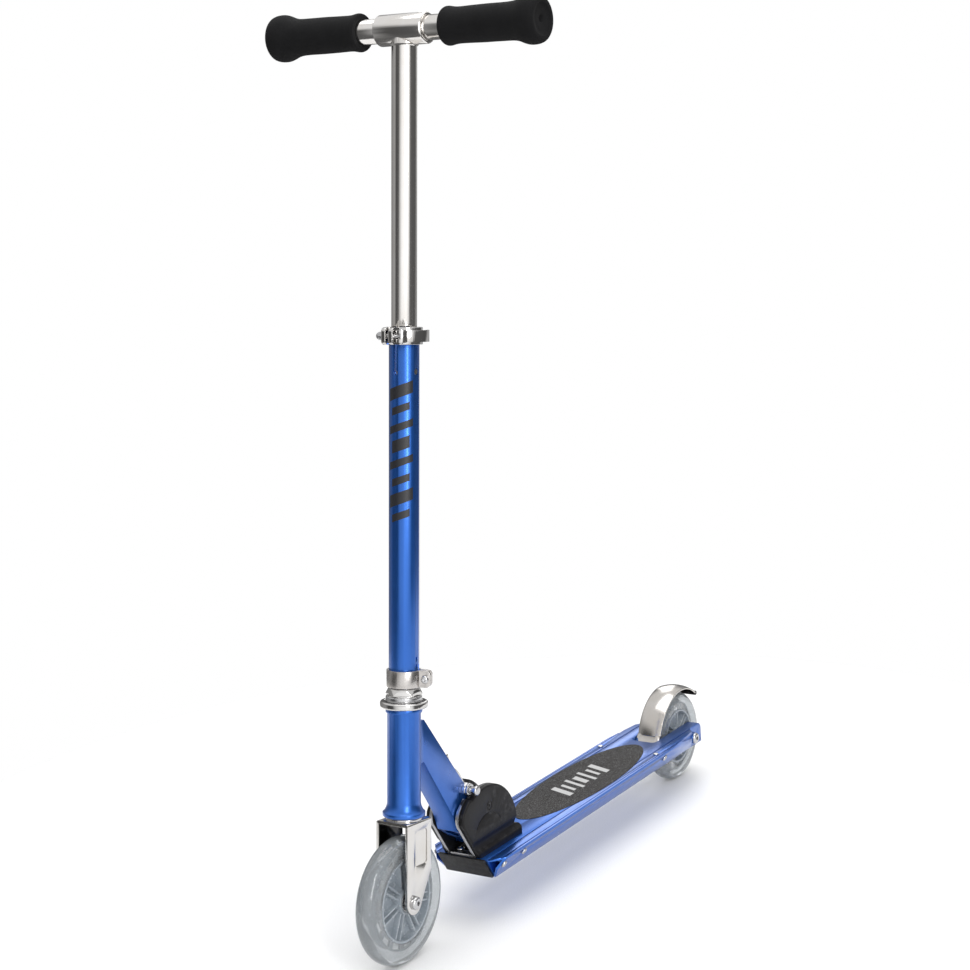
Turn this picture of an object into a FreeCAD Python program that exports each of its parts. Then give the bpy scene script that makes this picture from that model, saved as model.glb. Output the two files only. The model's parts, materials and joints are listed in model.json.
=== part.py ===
"""Folding kick scooter, modelled as its separate pieces, in millimetres.

Frame: +X forward, +Y to the rider's left, +Z up. The origin is on the ground, midway along
the scooter. Pieces that turn with the handlebar are drawn in a steering frame whose own Z is
the steering axis and whose origin is the centre of the fork crown's top face.
"""
import FreeCAD, Part
import math
import os

V = FreeCAD.Vector
X, Y, Z = V(1, 0, 0), V(0, 1, 0), V(0, 0, 1)

# ---------------------------------------------------------------- driving sizes
WHEELBASE = 655.0            # front axle to rear axle

FRONT_WHEEL_R = 72.5
REAR_WHEEL_R = 60.0
TYRE_WIDTH = 26.0
FRONT_RING_R = 46.6          # where the front tyre's side meets the core
REAR_RING_R = 36.6
CORE_LIP = 2.8               # thickness of the core's outer ring
FLANGE_DEPTH = 10.0          # core flange buried in the tyre
FLANGE_THICK = 6.0
SPOKE_PAIRS = 7
FLANGE_WINDOWS = 14
HUB_WALL = 3.5               # round the bearings
WEB_THICK = 3.0
RIB_THICK = 2.2

BEARING_OD = 22.0
BEARING_ID = 8.0
BEARING_W = 7.0
BEARING_RACE = 2.2           # thickness of each ring
BEARING_BALL_R = 1.9
SPACER_WALL = 2.25

RAKE = 7.0                   # degrees the steering axis leans back
FORK_OFFSET = 9.5            # axle ahead of the steering axis
CROWN_GAP = 13.9             # tyre to the underside of the crown
CROWN_LENGTH = 46.0
FORK_SIDE_GAP = 4.9          # tyre to the inside of a leg
FORK_PLATE = 3.6
LEG_TAPER_START = 58.0       # below the crown, at the leg's back edge
LEG_END_R = 13.5

STEERER_WALL = 3.0
STEERER_TOP = 195.0          # above the crown
HEAD_ROOM = 1.7              # steerer to the head tube's bore
HEAD_WALL = 3.0
HEAD_BOTTOM = 3.4            # above the crown
HEAD_TOP = 126.0
HEAD_LIP = 1.7               # how far the head tube's top lip stands out
HEAD_LIP_HEIGHT = 5.0
FLARE_WALL = 5.0             # how far the foot ring stands out from the head tube
FLARE_RING = 6.0             # height of that ring
FLARE_HEIGHT = 19.0          # height of the ring and the waist above it
CUP_RIM = 8.0                # how far the upper cup stands out from the head tube
CUP_HEIGHT = 7.5
CUP_FLOOR = 2.4
CONE_HEIGHT = 5.5            # of the upper cone, above the cup
WASHER_THICK = 1.5
LOCKNUT_ACROSS = 36.0
LOCKNUT_HEIGHT = 8.0
UPPER_BALL_R = 2.2
LOWER_BALL_R = 1.7

COLUMN_WALL = 2.6            # of the painted lower column
COLUMN_TOP = 548.0           # above the crown
BAND_WIDTH = 19.0
BAND_THICK = 2.6
BAND_EAR_THICK = 4.0
BAND_EAR_GAP = 3.0
BAND_EAR_TURN = 110.0        # degrees round from the front, towards the rider's left
SLIT_WIDTH = 3.0
SLIT_DEPTH = 48.0

POST_OD = 28.6               # polished upper column
POST_WALL = 2.0
BAR_HEIGHT = 877.0           # bar centre above the crown
POST_INSERT = 78.0           # post inside the lower column at full height
HEIGHT_TRAVEL = 270.0
HEIGHT_CLAMP_WIDTH = 19.0
HEIGHT_CLAMP_THICK = 3.6
CLAMP_EAR_THICK = 5.5
CLAMP_EAR_GAP = 4.0
CLAMP_AXLE_D = 5.2
LEVER_PIN_D = 5.0
LOCK_HOLE_BELOW_TOP = 47.0
LOCK_BUTTON_D = 7.6
LOCK_BUTTON_TRAVEL = 1.6
GUIDE_GROOVE = 1.9           # depth inside the lower column, for the button

SLEEVE_LENGTH = 64.0
SLEEVE_WALL = 3.4
HANDLE_TUBE_OD = 28.0
HANDLE_TUBE_WALL = 1.8
HANDLE_GAP = 5.0             # between the two handle tubes' inner ends
GRIP_START = 56.0            # from the column's centre plane
GRIP_END = 178.0
GRIP_MID_D = 41.0
GRIP_INNER_D = 43.5
GRIP_OUTER_D = 54.0
GRIP_RECESS = 5.0

DECK_ABOVE_AXLE = 17.0       # deck's top face above the rear axle
DECK_DEPTH = 27.0
DECK_WIDTH = 100.0
DECK_SKIN = 2.6
DECK_LIP = 3.0               # upright edge above the slanted sides
DECK_FRONT_GAP = 125.0       # front axle back to the deck's front edge
DECK_RAKE_BACK = 17.0        # how far the front end's foot is behind its top
DECK_NOSE_WIDTH = 64.0
DECK_NOSE_LENGTH = 21.0
DECK_ARM_PAST_AXLE = 21.0
DECK_TAIL_START = 90.0       # ahead of the rear axle, where the sides start to narrow
DECK_TAIL_END = 24.0         # ahead of the rear axle, where they are cut in for its bolt
DECK_TAIL_TAPER = 6.5        # how much each side has narrowed by then
DECK_TAIL_ROUND = 9.0        # radius of the arms' top rear corner
ARM_WIDTH = 15.5             # each arm beside the rear wheel
SLOT_SIDE_GAP = 5.5          # tyre to an arm
SLOT_PAST_WHEEL = 24.0
GROOVE_WIDTH = 1.2           # the lines rolled into the deck's top
GROOVE_DEPTH = 0.8
END_CAP_THICK = 4.0
END_CAP_LUG = 14.0           # how far the cap's lugs reach into the deck
DECK_SCREW_R = 1.9
DECK_RIVET_R = 2.0
TAPE_LENGTH = 298.0
TAPE_WIDTH = 84.0
TAPE_THICK = 1.0
TAPE_CENTRE = 406.0          # behind the front axle

FOLD_BACK = 150.0            # fold pivot behind the front axle
FOLD_ABOVE_DECK = 18.0
FOLD_PIN_D = 12.0
BRACKET_SIDE_GAP = 2.0       # beam to a side plate
BRACKET_PLATE = 4.0
BRACKET_BASE = 3.0
BRACKET_FOOT = 21.0          # base's front edge ahead of the fold pivot
BRACKET_BOLT_D = 6.0
BRACKET_BOLT_AHEAD = 11.0    # of the fold pivot
BRACKET_BOLT_BEHIND = 52.0
BRACKET_BOLT_SIDE = 8.5
BRACKET_NOSE = 9.5           # plates' rear end behind their rim
RIM_R = 63.3                 # the plates' rim, round the fold pivot
HORN_R = 68.0                # front stop, round the fold pivot
COVER_THICK = 6.0
COVER_SET_BACK = 1.5         # the cover leaves the plates' front edge bare
BEAM_WIDTH = 28.0
BEAM_WALL = 3.0
BEAM_TOP = 109.8             # where the beam's rear edge meets the head tube
BEAM_FOOT = 60.0             # where its front edge does
BARREL_R = 10.0
LOCK_ROD_D = 8.0
ROLLER_R = 7.3
LOCK_TURN = 70.0             # degrees up from forward, seen from the fold pivot
LEVER_LENGTH = 52.0
LEVER_WIDTH = 17.0
LEVER_THICK = 2.6

FENDER_GAP = 4.5             # fender to tyre at rest
FENDER_THICK = 2.0
FENDER_SIDE_GAP = 1.5        # to the arms
FENDER_CROWN = 3.0           # how much the middle stands above the edges
FENDER_FRONT_TURN = 16.0     # degrees above level at the front end
FENDER_REAR_TURN = 131.0
BRAKE_PIN_D = 6.0
BRAKE_PIN_PAST_FENDER = 9.5  # ahead of the fender's inner face
BRAKE_PIN_ABOVE_AXLE = 6.0
SPRING_WIRE_R = 0.8
SPRING_TURNS = 5
SPRING_PITCH = 2.3

RUNNING = 0.05               # radial clearance of a turning fit
SLIDING = 0.1                # radial clearance of a telescoping fit
CLEAR = 0.4                  # gap between faces that pass each other

# ---------------------------------------------------------------- derived places
FRONT_X = (WHEELBASE + REAR_WHEEL_R - FRONT_WHEEL_R) / 2
REAR_X = FRONT_X - WHEELBASE
FRONT_AXLE = V(FRONT_X, 0, FRONT_WHEEL_R)
REAR_AXLE = V(REAR_X, 0, REAR_WHEEL_R)
WHEEL_HALF = TYRE_WIDTH / 2
HUB_HALF = WHEEL_HALF - 1.0
HUB_R = BEARING_OD / 2 + HUB_WALL
AXLE_D = BEARING_ID
SPACER_OD = AXLE_D + 2 * SPACER_WALL
BALL_RING_R = (BEARING_OD + BEARING_ID) / 4

CROWN_TO_AXLE = FRONT_WHEEL_R + CROWN_GAP + FORK_PLATE
RAKE_RAD = math.radians(RAKE)
STEER_UP = V(-math.sin(RAKE_RAD), 0, math.cos(RAKE_RAD))
STEER_FORE = V(math.cos(RAKE_RAD), 0, math.sin(RAKE_RAD))
CROWN = FRONT_AXLE - STEER_FORE * FORK_OFFSET + STEER_UP * CROWN_TO_AXLE
STEERING = FreeCAD.Placement(CROWN, FreeCAD.Rotation(Y, -RAKE))
LEG_IN = WHEEL_HALF + FORK_SIDE_GAP
LEG_OUT = LEG_IN + FORK_PLATE

STEERER_OD = POST_OD         # so that the lower column slips over either
STEERER_R = STEERER_OD / 2
COLUMN_ID = POST_OD + 2 * SLIDING
COLUMN_OD = COLUMN_ID + 2 * COLUMN_WALL
HEAD_ID = STEERER_OD + 2 * HEAD_ROOM
HEAD_OD = HEAD_ID + 2 * HEAD_WALL
FLARE_R = HEAD_OD / 2 + FLARE_WALL
LOWER_CUP_R = FLARE_R - 3.0
CUP_R = HEAD_OD / 2 + CUP_RIM
CUP_BORE_R = CUP_R - 6.0
CONE_R = CUP_BORE_R - CLEAR
LOCKNUT_BOTTOM = HEAD_TOP + CUP_HEIGHT + CONE_HEIGHT + WASHER_THICK
BAND_BOTTOM = LOCKNUT_BOTTOM + LOCKNUT_HEIGHT + 1.0
BAND_EAR_REACH = COLUMN_OD / 2 + BAND_THICK + 12.0
COLUMN_BOTTOM = BAND_BOTTOM + 1.0
POST_BOTTOM = COLUMN_TOP - POST_INSERT
LOCK_HOLE_Z = COLUMN_TOP - LOCK_HOLE_BELOW_TOP
SLEEVE_OD = HANDLE_TUBE_OD + 2 * SLIDING + 2 * SLEEVE_WALL
TUBE_END = GRIP_END - 7.0    # outer end of a handle tube, inside its grip

CLAMP_BOTTOM = COLUMN_TOP - HEIGHT_CLAMP_WIDTH + 2.0
CLAMP_MIDDLE = CLAMP_BOTTOM + HEIGHT_CLAMP_WIDTH / 2
CLAMP_REACH = COLUMN_OD / 2 + HEIGHT_CLAMP_THICK + 13.0
CLAMP_AXLE_X = CLAMP_REACH - 7.0
CLAMP_EAR_OUT = CLAMP_EAR_GAP / 2 + CLAMP_EAR_THICK
LEVER_PIVOT = V(CLAMP_AXLE_X, CLAMP_EAR_OUT + 7.0, CLAMP_MIDDLE)

DECK_TOP = REAR_WHEEL_R + DECK_ABOVE_AXLE
DECK_BOTTOM = DECK_TOP - DECK_DEPTH
DECK_FRONT = FRONT_X - DECK_FRONT_GAP
DECK_REAR = REAR_X - DECK_ARM_PAST_AXLE
SLOT_WIDTH = TYRE_WIDTH + 2 * SLOT_SIDE_GAP
SLOT_FRONT = REAR_X + REAR_WHEEL_R + SLOT_PAST_WHEEL
CORE_HALF = SLOT_WIDTH / 2 + ARM_WIDTH   # half width of the deck's floor and its arms
WEB_HALF = CORE_HALF - DECK_SKIN         # the hollow between the deck's inner walls

PIVOT = V(FRONT_X - FOLD_BACK, 0, DECK_TOP + FOLD_ABOVE_DECK)
PLATE_IN = BEAM_WIDTH / 2 + BRACKET_SIDE_GAP
PLATE_OUT = PLATE_IN + BRACKET_PLATE
COVER_OUT = PLATE_OUT + COVER_THICK
LOCK_R = RIM_R + ROLLER_R + CLEAR

FENDER_INNER_R = REAR_WHEEL_R + FENDER_GAP
FENDER_HALF = SLOT_WIDTH / 2 - FENDER_SIDE_GAP
KNUCKLE_R = BRAKE_PIN_D / 2 + 3.0
BRAKE_PIVOT = V(REAR_X + FENDER_INNER_R + BRAKE_PIN_PAST_FENDER, 0, REAR_WHEEL_R + BRAKE_PIN_ABOVE_AXLE)


# ---------------------------------------------------------------- small helpers
def block(x0, x1, y0, y1, z0, z1):
    return Part.makeBox(x1 - x0, y1 - y0, z1 - z0, V(x0, y0, z0))


def rod(radius, start, along, length):
    return Part.makeCylinder(radius, length, start, along)


def cross_rod(radius, centre, half, other_half=None):
    """A round bar along Y through centre, from -half to +half."""
    right = half if other_half is None else other_half
    return rod(radius, centre - Y * right, Y, half + right)


def tube(outer, inner, start, along, length):
    return rod(outer, start, along, length).cut(rod(inner, start - along, along, length + 2))


def cross_tube(outer, inner, centre, y0, y1):
    return tube(outer, inner, V(centre.x, y0, centre.z), Y, y1 - y0)


def polar(centre, radius, degrees):
    """A point in the XZ plane at that angle up from +X."""
    turn = math.radians(degrees)
    return V(centre.x + radius * math.cos(turn), centre.y, centre.z + radius * math.sin(turn))


def face_from(edges):
    return Part.Face(Part.Wire(edges))


def line(a, b):
    return Part.LineSegment(a, b).toShape()


def arc(a, through, b):
    return Part.Arc(a, through, b).toShape()


def arc_about(centre, radius, first, last):
    """An arc round centre in the XZ plane, between two angles in degrees."""
    middle = (first + last) / 2
    return arc(polar(centre, radius, first), polar(centre, radius, middle), polar(centre, radius, last))


def slab(points, y0, y1):
    """A prism between y0 and y1 whose outline in XZ is points, given as (x, z)."""
    wire = Part.makePolygon([V(x, y0, z) for x, z in points + points[:1]])
    return Part.Face(wire).extrude(Y * (y1 - y0))


def slabx(points, x0, x1):
    """A prism between x0 and x1 whose outline in YZ is points, given as (y, z)."""
    wire = Part.makePolygon([V(x0, y, z) for y, z in points + points[:1]])
    return Part.Face(wire).extrude(X * (x1 - x0))


def mirrored(shape):
    return shape.mirror(V(0, 0, 0), Y)


def both_sides(shape):
    return Part.makeCompound([shape, mirrored(shape)])


def hex_bar(across, centre, along, length):
    """A hexagonal prism of the given size across its flats."""
    corner = across / math.sqrt(3)
    turns = [math.radians(60 * i) for i in range(7)]
    points = [V(corner * math.cos(turn), corner * math.sin(turn), 0) for turn in turns]
    prism = Part.Face(Part.makePolygon(points)).extrude(Z * length)
    prism.Placement = FreeCAD.Placement(centre, FreeCAD.Rotation(Z, along))
    return prism


def domed_head(radius, height, base, along, socket=0.0):
    """A low round head with a rounded rim, and a hexagonal socket if one is asked for."""
    head = rod(radius, base, along, height)
    rim = [e for e in head.Edges if abs(e.CenterOfMass.sub(base).dot(along) - height) < 0.01]
    head = head.makeFillet(height * 0.6, rim)
    if socket:
        head = head.cut(hex_bar(socket, base + along * (height * 0.35), along, height))
    return head


def in_steering(shape):
    placed = shape.copy()
    placed.Placement = STEERING.multiply(placed.Placement)
    return placed


def export(name, shape):
    solids = shape.Solids
    assert solids, name
    body = solids[0] if len(solids) == 1 else Part.makeCompound(solids)
    assert body.isValid(), name
    body.exportStep("parts/%s.step" % name)
    print("%-28s solids %3d  volume %9.1f" % (name, len(solids), sum(s.Volume for s in solids)))


# ---------------------------------------------------------------- deck
def deck_section(inset=0.0):
    """The deck's cross-section in YZ, inset by a wall thickness."""
    half = DECK_WIDTH / 2
    points = [(half, DECK_TOP), (half, DECK_TOP - DECK_LIP), (CORE_HALF, DECK_BOTTOM),
              (-CORE_HALF, DECK_BOTTOM), (-half, DECK_TOP - DECK_LIP), (-half, DECK_TOP)]
    face = Part.Face(Part.makePolygon([V(0, y, z) for y, z in points + points[:1]]))
    return face.makeOffset2D(-inset) if inset else face


def plan_prism(points):
    """A prism through the deck's whole depth whose outline in XY is points, given as (x, y)."""
    corners = [V(x, y, DECK_BOTTOM - 1) for x, y in points + points[:1]]
    return Part.Face(Part.makePolygon(corners)).extrude(Z * (DECK_DEPTH + 2))


def nose_rake():
    """Everything ahead of the raked front end, which the end cap's back lies against."""
    half, ahead = DECK_WIDTH / 2 + 1, 60.0
    slope = DECK_RAKE_BACK / DECK_DEPTH
    foot, top = DECK_BOTTOM - 1, DECK_TOP + 1
    x = DECK_FRONT - END_CAP_THICK
    return slab([(x - slope * (DECK_TOP - foot), foot), (x + slope * (top - DECK_TOP), top),
                 (x + ahead, top), (x + ahead, foot)], -half, half)


def nose_corners():
    """What the narrowed front corners of the deck leave out."""
    half, nose, past = DECK_WIDTH / 2, DECK_NOSE_WIDTH / 2, 60.0
    back = DECK_FRONT - DECK_NOSE_LENGTH
    return both_sides(plan_prism([(DECK_FRONT, nose), (back, half), (back, half + past),
                                  (DECK_FRONT + past, half + past), (DECK_FRONT + past, nose)]))


def tail_sides():
    """What the narrowing slanted sides leave out, down to the bare arms beside the axle."""
    half, end = DECK_WIDTH / 2, REAR_X + DECK_TAIL_END
    return both_sides(plan_prism([(REAR_X + DECK_TAIL_START, half), (end, half - DECK_TAIL_TAPER),
                                  (REAR_X + 11.0, CORE_HALF), (DECK_REAR - 1, CORE_HALF),
                                  (DECK_REAR - 1, half + 1), (REAR_X + DECK_TAIL_START, half + 1)]))


def tail_round():
    """The rounded top rear corner of both arms, as the waste to cut off."""
    r, half = DECK_TAIL_ROUND, CORE_HALF + 2
    corner = block(DECK_REAR - 1, DECK_REAR + r, -half, half, DECK_TOP - r, DECK_TOP + 1)
    return corner.cut(cross_rod(r, V(DECK_REAR + r, 0, DECK_TOP - r), half))


def wheel_slot():
    half = SLOT_WIDTH / 2
    slot = block(DECK_REAR - 1, SLOT_FRONT, -half, half, DECK_BOTTOM - 1, DECK_TOP + 1)
    upright = [e for e in slot.Edges if abs(e.BoundBox.XMin - SLOT_FRONT) < 0.01 and e.BoundBox.ZLength > 1]
    return slot.makeFillet(6, upright)


def deck_hollows():
    """The closed channel under the middle, the two side channels and one in each arm."""
    z0, z1 = DECK_BOTTOM + DECK_SKIN, DECK_TOP - DECK_SKIN
    middle = block(SLOT_FRONT + 12, DECK_FRONT + 5, -WEB_HALF, WEB_HALF, z0, z1)
    side = deck_section(DECK_SKIN).extrude(X * (DECK_FRONT - DECK_REAR + 2))
    side.translate(X * (DECK_REAR - 1))
    side = side.common(block(DECK_REAR - 2, DECK_FRONT + 2, CORE_HALF, DECK_WIDTH, z0 - 5, z1))
    arm = block(REAR_X + 18, SLOT_FRONT + 13, SLOT_WIDTH / 2 + DECK_SKIN + 1, WEB_HALF, z0, z1)
    return [middle, both_sides(side), both_sides(arm)]


def deck():
    shape = deck_section().extrude(X * (DECK_FRONT - DECK_REAR))
    shape.translate(X * DECK_REAR)
    for waste in deck_hollows() + [nose_rake(), nose_corners(), tail_sides(), tail_round(), wheel_slot()]:
        shape = shape.cut(waste)
    for y in (DECK_WIDTH / 2 - 3.2, CORE_HALF + 1.5):
        line_cut = block(DECK_REAR - 1, DECK_FRONT + 1, y - GROOVE_WIDTH / 2, y + GROOVE_WIDTH / 2,
                         DECK_TOP - GROOVE_DEPTH, DECK_TOP + 1)
        shape = shape.cut(both_sides(line_cut))
    shape = shape.cut(cross_rod(AXLE_D / 2, REAR_AXLE, CORE_HALF + 1))
    shape = shape.cut(cross_rod(BRAKE_PIN_D / 2, BRAKE_PIVOT, CORE_HALF + 1))
    for x, y in bracket_bolt_spots():
        shape = shape.cut(rod(BRACKET_BOLT_D / 2, V(x, y, DECK_TOP - DECK_SKIN - 1), Z, DECK_SKIN + 2))
    for spot, normal in deck_screw_spots():
        shape = shape.cut(rod(DECK_SCREW_R, spot - normal * 9, normal, 12))
    for spot in deck_rivet_spots():
        shape = shape.cut(rod(DECK_RIVET_R, spot - Z * (DECK_SKIN + 1), Z, DECK_SKIN + 2))
    return shape


def deck_end_cap():
    """The moulded cap on the deck's raked front end, with two lugs that plug into the deck."""
    half = DECK_NOSE_WIDTH / 2
    slope = DECK_RAKE_BACK / DECK_DEPTH

    def raked(height, back):
        return DECK_FRONT - slope * (DECK_TOP - height) - back, height

    plate = slab([raked(DECK_TOP, 0), raked(DECK_TOP, END_CAP_THICK), raked(DECK_BOTTOM, END_CAP_THICK),
                  raked(DECK_BOTTOM, 0)], -half, half)
    z0, z1 = DECK_BOTTOM + DECK_SKIN + SLIDING, DECK_TOP - DECK_SKIN - SLIDING
    back = END_CAP_THICK + END_CAP_LUG
    inner, outer = half / 2, min(half - 3.0, WEB_HALF - SLIDING)
    lug = slab([raked(z1, END_CAP_THICK), raked(z1, back), raked(z0, back), raked(z0, END_CAP_THICK)],
               inner, outer)
    return plate.fuse(lug).fuse(mirrored(lug)).removeSplitter().cut(nose_corners())


def grip_tape():
    centre = V(FRONT_X - TAPE_CENTRE, 0, DECK_TOP)
    ring = Part.Ellipse(centre, TAPE_LENGTH / 2, TAPE_WIDTH / 2).toShape()
    return Part.Face(Part.Wire(ring)).extrude(Z * TAPE_THICK)


def bracket_bolt_spots():
    return [(PIVOT.x + dx, y) for dx in (BRACKET_BOLT_AHEAD, -BRACKET_BOLT_BEHIND)
            for y in (-BRACKET_BOLT_SIDE, BRACKET_BOLT_SIDE)]


def bracket_bolts():
    """Four screws that hold the folding bracket's base to the deck, with nuts inside it."""
    r, nut_high = BRACKET_BOLT_D / 2, 5.0
    under = DECK_TOP - DECK_SKIN
    screws = []
    for x, y in bracket_bolt_spots():
        head = domed_head(r + 2.0, 3.2, V(x, y, DECK_TOP + BRACKET_BASE), Z, socket=4.0)
        shank = rod(r, V(x, y, DECK_TOP - 12), Z, BRACKET_BASE + 12)
        nut = hex_bar(2 * r + 4.0, V(x, y, under - nut_high), Z, nut_high)
        screws += [head.fuse(shank), nut.cut(rod(r, V(x, y, under - nut_high - 1), Z, nut_high + 2))]
    return Part.makeCompound(screws)


def slanted_side(x, below_top):
    """A point on the deck's slanted left side, and the side's outward normal."""
    rise = DECK_DEPTH - DECK_LIP
    run = DECK_WIDTH / 2 - CORE_HALF
    slant = math.hypot(rise, run)
    y = DECK_WIDTH / 2 - run * (below_top - DECK_LIP) / rise
    return V(x, y, DECK_TOP - below_top), V(0, rise / slant, -run / slant)


def deck_screw_spots():
    """Two screws near the front and one near the back, on each slanted side."""
    spots = []
    for x in (FRONT_X - DECK_FRONT_GAP - 21.0, FRONT_X - DECK_FRONT_GAP - 65.0, REAR_X + 110.0):
        spot, normal = slanted_side(x, 8.5)
        spots.append((spot, normal))
        spots.append((V(spot.x, -spot.y, spot.z), V(0, -normal.y, normal.z)))
    return spots


def deck_screws():
    screws = []
    for spot, normal in deck_screw_spots():
        head = domed_head(4.2, 2.4, spot, normal, socket=2.5)
        screws.append(head.fuse(rod(DECK_SCREW_R, spot - normal * 8, normal, 8)))
    return Part.makeCompound(screws)


def deck_rivet_spots():
    x, y = REAR_X + DECK_TAIL_START + 34, (DECK_WIDTH / 2 + CORE_HALF) / 2
    return [V(x, -y, DECK_TOP), V(x, y, DECK_TOP)]


def deck_rivets():
    rivets = []
    for spot in deck_rivet_spots():
        rivets.append(domed_head(3.4, 1.6, spot, Z).fuse(rod(DECK_RIVET_R, spot - Z * 5, Z, 5)))
    return Part.makeCompound(rivets)


# ---------------------------------------------------------------- folding bracket
def plate_profile(set_back=0.0):
    """Outline of one side plate in XZ, with its stop, its rim and its foot."""
    p, horn = PIVOT, HORN_R - set_back
    foot = V(p.x + BRACKET_FOOT - set_back, 0, DECK_TOP)
    knee = V(p.x + 49 - set_back, 0, p.z + 26)
    knee_round = V(p.x + 52.4 - set_back, 0, p.z + 40)
    stop_low = polar(p, horn, 44)
    stop_high = polar(p, horn, 59.5)
    seat = polar(p, RIM_R, 62)
    rim_end = polar(p, RIM_R, 174)
    heel = V(rim_end.x + 3, 0, DECK_TOP + 15)
    nose_top = V(rim_end.x - 3, 0, DECK_TOP + 13.5)
    nose_low = V(rim_end.x - BRACKET_NOSE, 0, DECK_TOP + 7)
    nose_mid = V(rim_end.x - 7.6, 0, DECK_TOP + 11.6)
    tail = V(rim_end.x - BRACKET_NOSE, 0, DECK_TOP)
    return [line(foot, knee), arc(knee, knee_round, stop_low), arc_about(p, horn, 44, 59.5),
            line(stop_high, seat), arc_about(p, RIM_R, 62, 174), line(rim_end, heel), line(heel, nose_top),
            arc(nose_top, nose_mid, nose_low), line(nose_low, tail), line(tail, foot)]


def side_plate(y0, y1, set_back=0.0):
    plate = face_from(plate_profile(set_back)).extrude(Y * (y1 - y0))
    plate.translate(Y * y0)
    return plate


def fold_bracket():
    """The pressed steel channel that the column folds in."""
    plates = side_plate(PLATE_IN, PLATE_OUT).fuse(side_plate(-PLATE_OUT, -PLATE_IN))
    front, rear = PIVOT.x + BRACKET_FOOT, polar(PIVOT, RIM_R, 174).x - BRACKET_NOSE
    base = block(rear, front, -PLATE_OUT, PLATE_OUT, DECK_TOP, DECK_TOP + BRACKET_BASE)
    shape = plates.fuse(base).removeSplitter()
    shape = shape.cut(cross_rod(FOLD_PIN_D / 2, PIVOT, PLATE_OUT + 1))
    for x, y in bracket_bolt_spots():
        shape = shape.cut(rod(BRACKET_BOLT_D / 2, V(x, y, DECK_TOP - 1), Z, BRACKET_BASE + 2))
    return shape


def fold_cover():
    """The moulded cover on the outside of the left side plate."""
    shape = side_plate(PLATE_OUT, COVER_OUT, COVER_SET_BACK)
    above_deck = [e for e in shape.Edges if e.BoundBox.ZMin > DECK_TOP + 0.5]
    corners = [e for e in above_deck if e.BoundBox.YLength > COVER_THICK - 0.1]
    shape = shape.makeFillet(1.2, corners)
    rim = [e for e in shape.Edges if e.BoundBox.YMin > COVER_OUT - 0.01 and e.BoundBox.ZMin > DECK_TOP + 0.5]
    shape = shape.makeFillet(2.0, rim)
    scoop_r, length = 13.0, shape.BoundBox.XLength + 2
    scoop_start = V(shape.BoundBox.XMin - 1, COVER_OUT + scoop_r - 3.4, DECK_TOP + scoop_r + 2.5)
    shape = shape.cut(rod(scoop_r, scoop_start, X, length))
    shape = shape.cut(cross_rod(FOLD_PIN_D / 2 + 3, PIVOT, PLATE_OUT + 2.6))
    eye = polar(PIVOT, 39, 96)
    shape = shape.cut(rod(1.6, V(eye.x, PLATE_OUT - 1, eye.z), Y, COVER_THICK + 2))
    ring = cross_tube(5.2, 4.2, eye, COVER_OUT - 0.5, COVER_OUT + 1)
    groove = cross_tube(31.5, 30.5, PIVOT, COVER_OUT - 0.6, COVER_OUT + 1)
    upper = slab([(PIVOT.x - 28, PIVOT.z + 12), (PIVOT.x + 28, PIVOT.z + 18), (PIVOT.x + 30, PIVOT.z + 40),
                  (PIVOT.x - 30, PIVOT.z + 40)], 0, COVER_OUT + 2)
    return shape.cut(ring).cut(groove.common(upper))


def fold_pivot_pin():
    head = cross_rod(FOLD_PIN_D / 2 + 2.5, V(PIVOT.x, PLATE_OUT + 1, PIVOT.z), 1)
    return cross_rod(FOLD_PIN_D / 2, PIVOT, PLATE_OUT).fuse(head).fuse(mirrored(head)).removeSplitter()


# ---------------------------------------------------------------- neck
def to_world(e, s):
    """A point in the steering frame's middle plane, given in the scooter's frame."""
    return CROWN + STEER_FORE * e + STEER_UP * s


def beam_rear_top():
    return to_world(-HEAD_OD / 2, BEAM_TOP)


def beam_shoulder():
    """A point on the beam's rear edge just above the lock."""
    return PIVOT + V(33.2, 0, 83.0)


def beam_run():
    """Directions along the beam's rear edge and outwards from it."""
    along = beam_rear_top().sub(beam_shoulder()).normalize()
    return along, V(-along.z, 0, along.x)


def beam_outline():
    """Side view of the beam from the head tube down to the fold pivot."""
    p, r = PIVOT, BARREL_R
    head_low = to_world(0, BEAM_FOOT)
    head_front = to_world(-HEAD_OD / 2, BEAM_FOOT + 2.0)
    around = [(33.2, 83.0), (12.0, 54.0), (-r, 20.0), (-r, 0.0), (0.0, -r * 0.9), (r, -2.0),
              (28.0, 8.0), (46.0, 22.0), (54.6, 45.7)]
    points = [to_world(0, BEAM_TOP), beam_rear_top()] + [p + V(x, 0, z) for x, z in around]
    return [(q.x, q.z) for q in points + [head_front, head_low]]


def beam():
    half, outline = BEAM_WIDTH / 2, beam_outline()
    face = Part.Face(Part.makePolygon([V(x, 0, z) for x, z in outline + outline[:1]]))
    hollow = face.makeOffset2D(-BEAM_WALL).extrude(Y * (BEAM_WIDTH - 2 * BEAM_WALL))
    hollow.translate(Y * (BEAM_WALL - half))
    return slab(outline, -half, half).cut(hollow)


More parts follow.
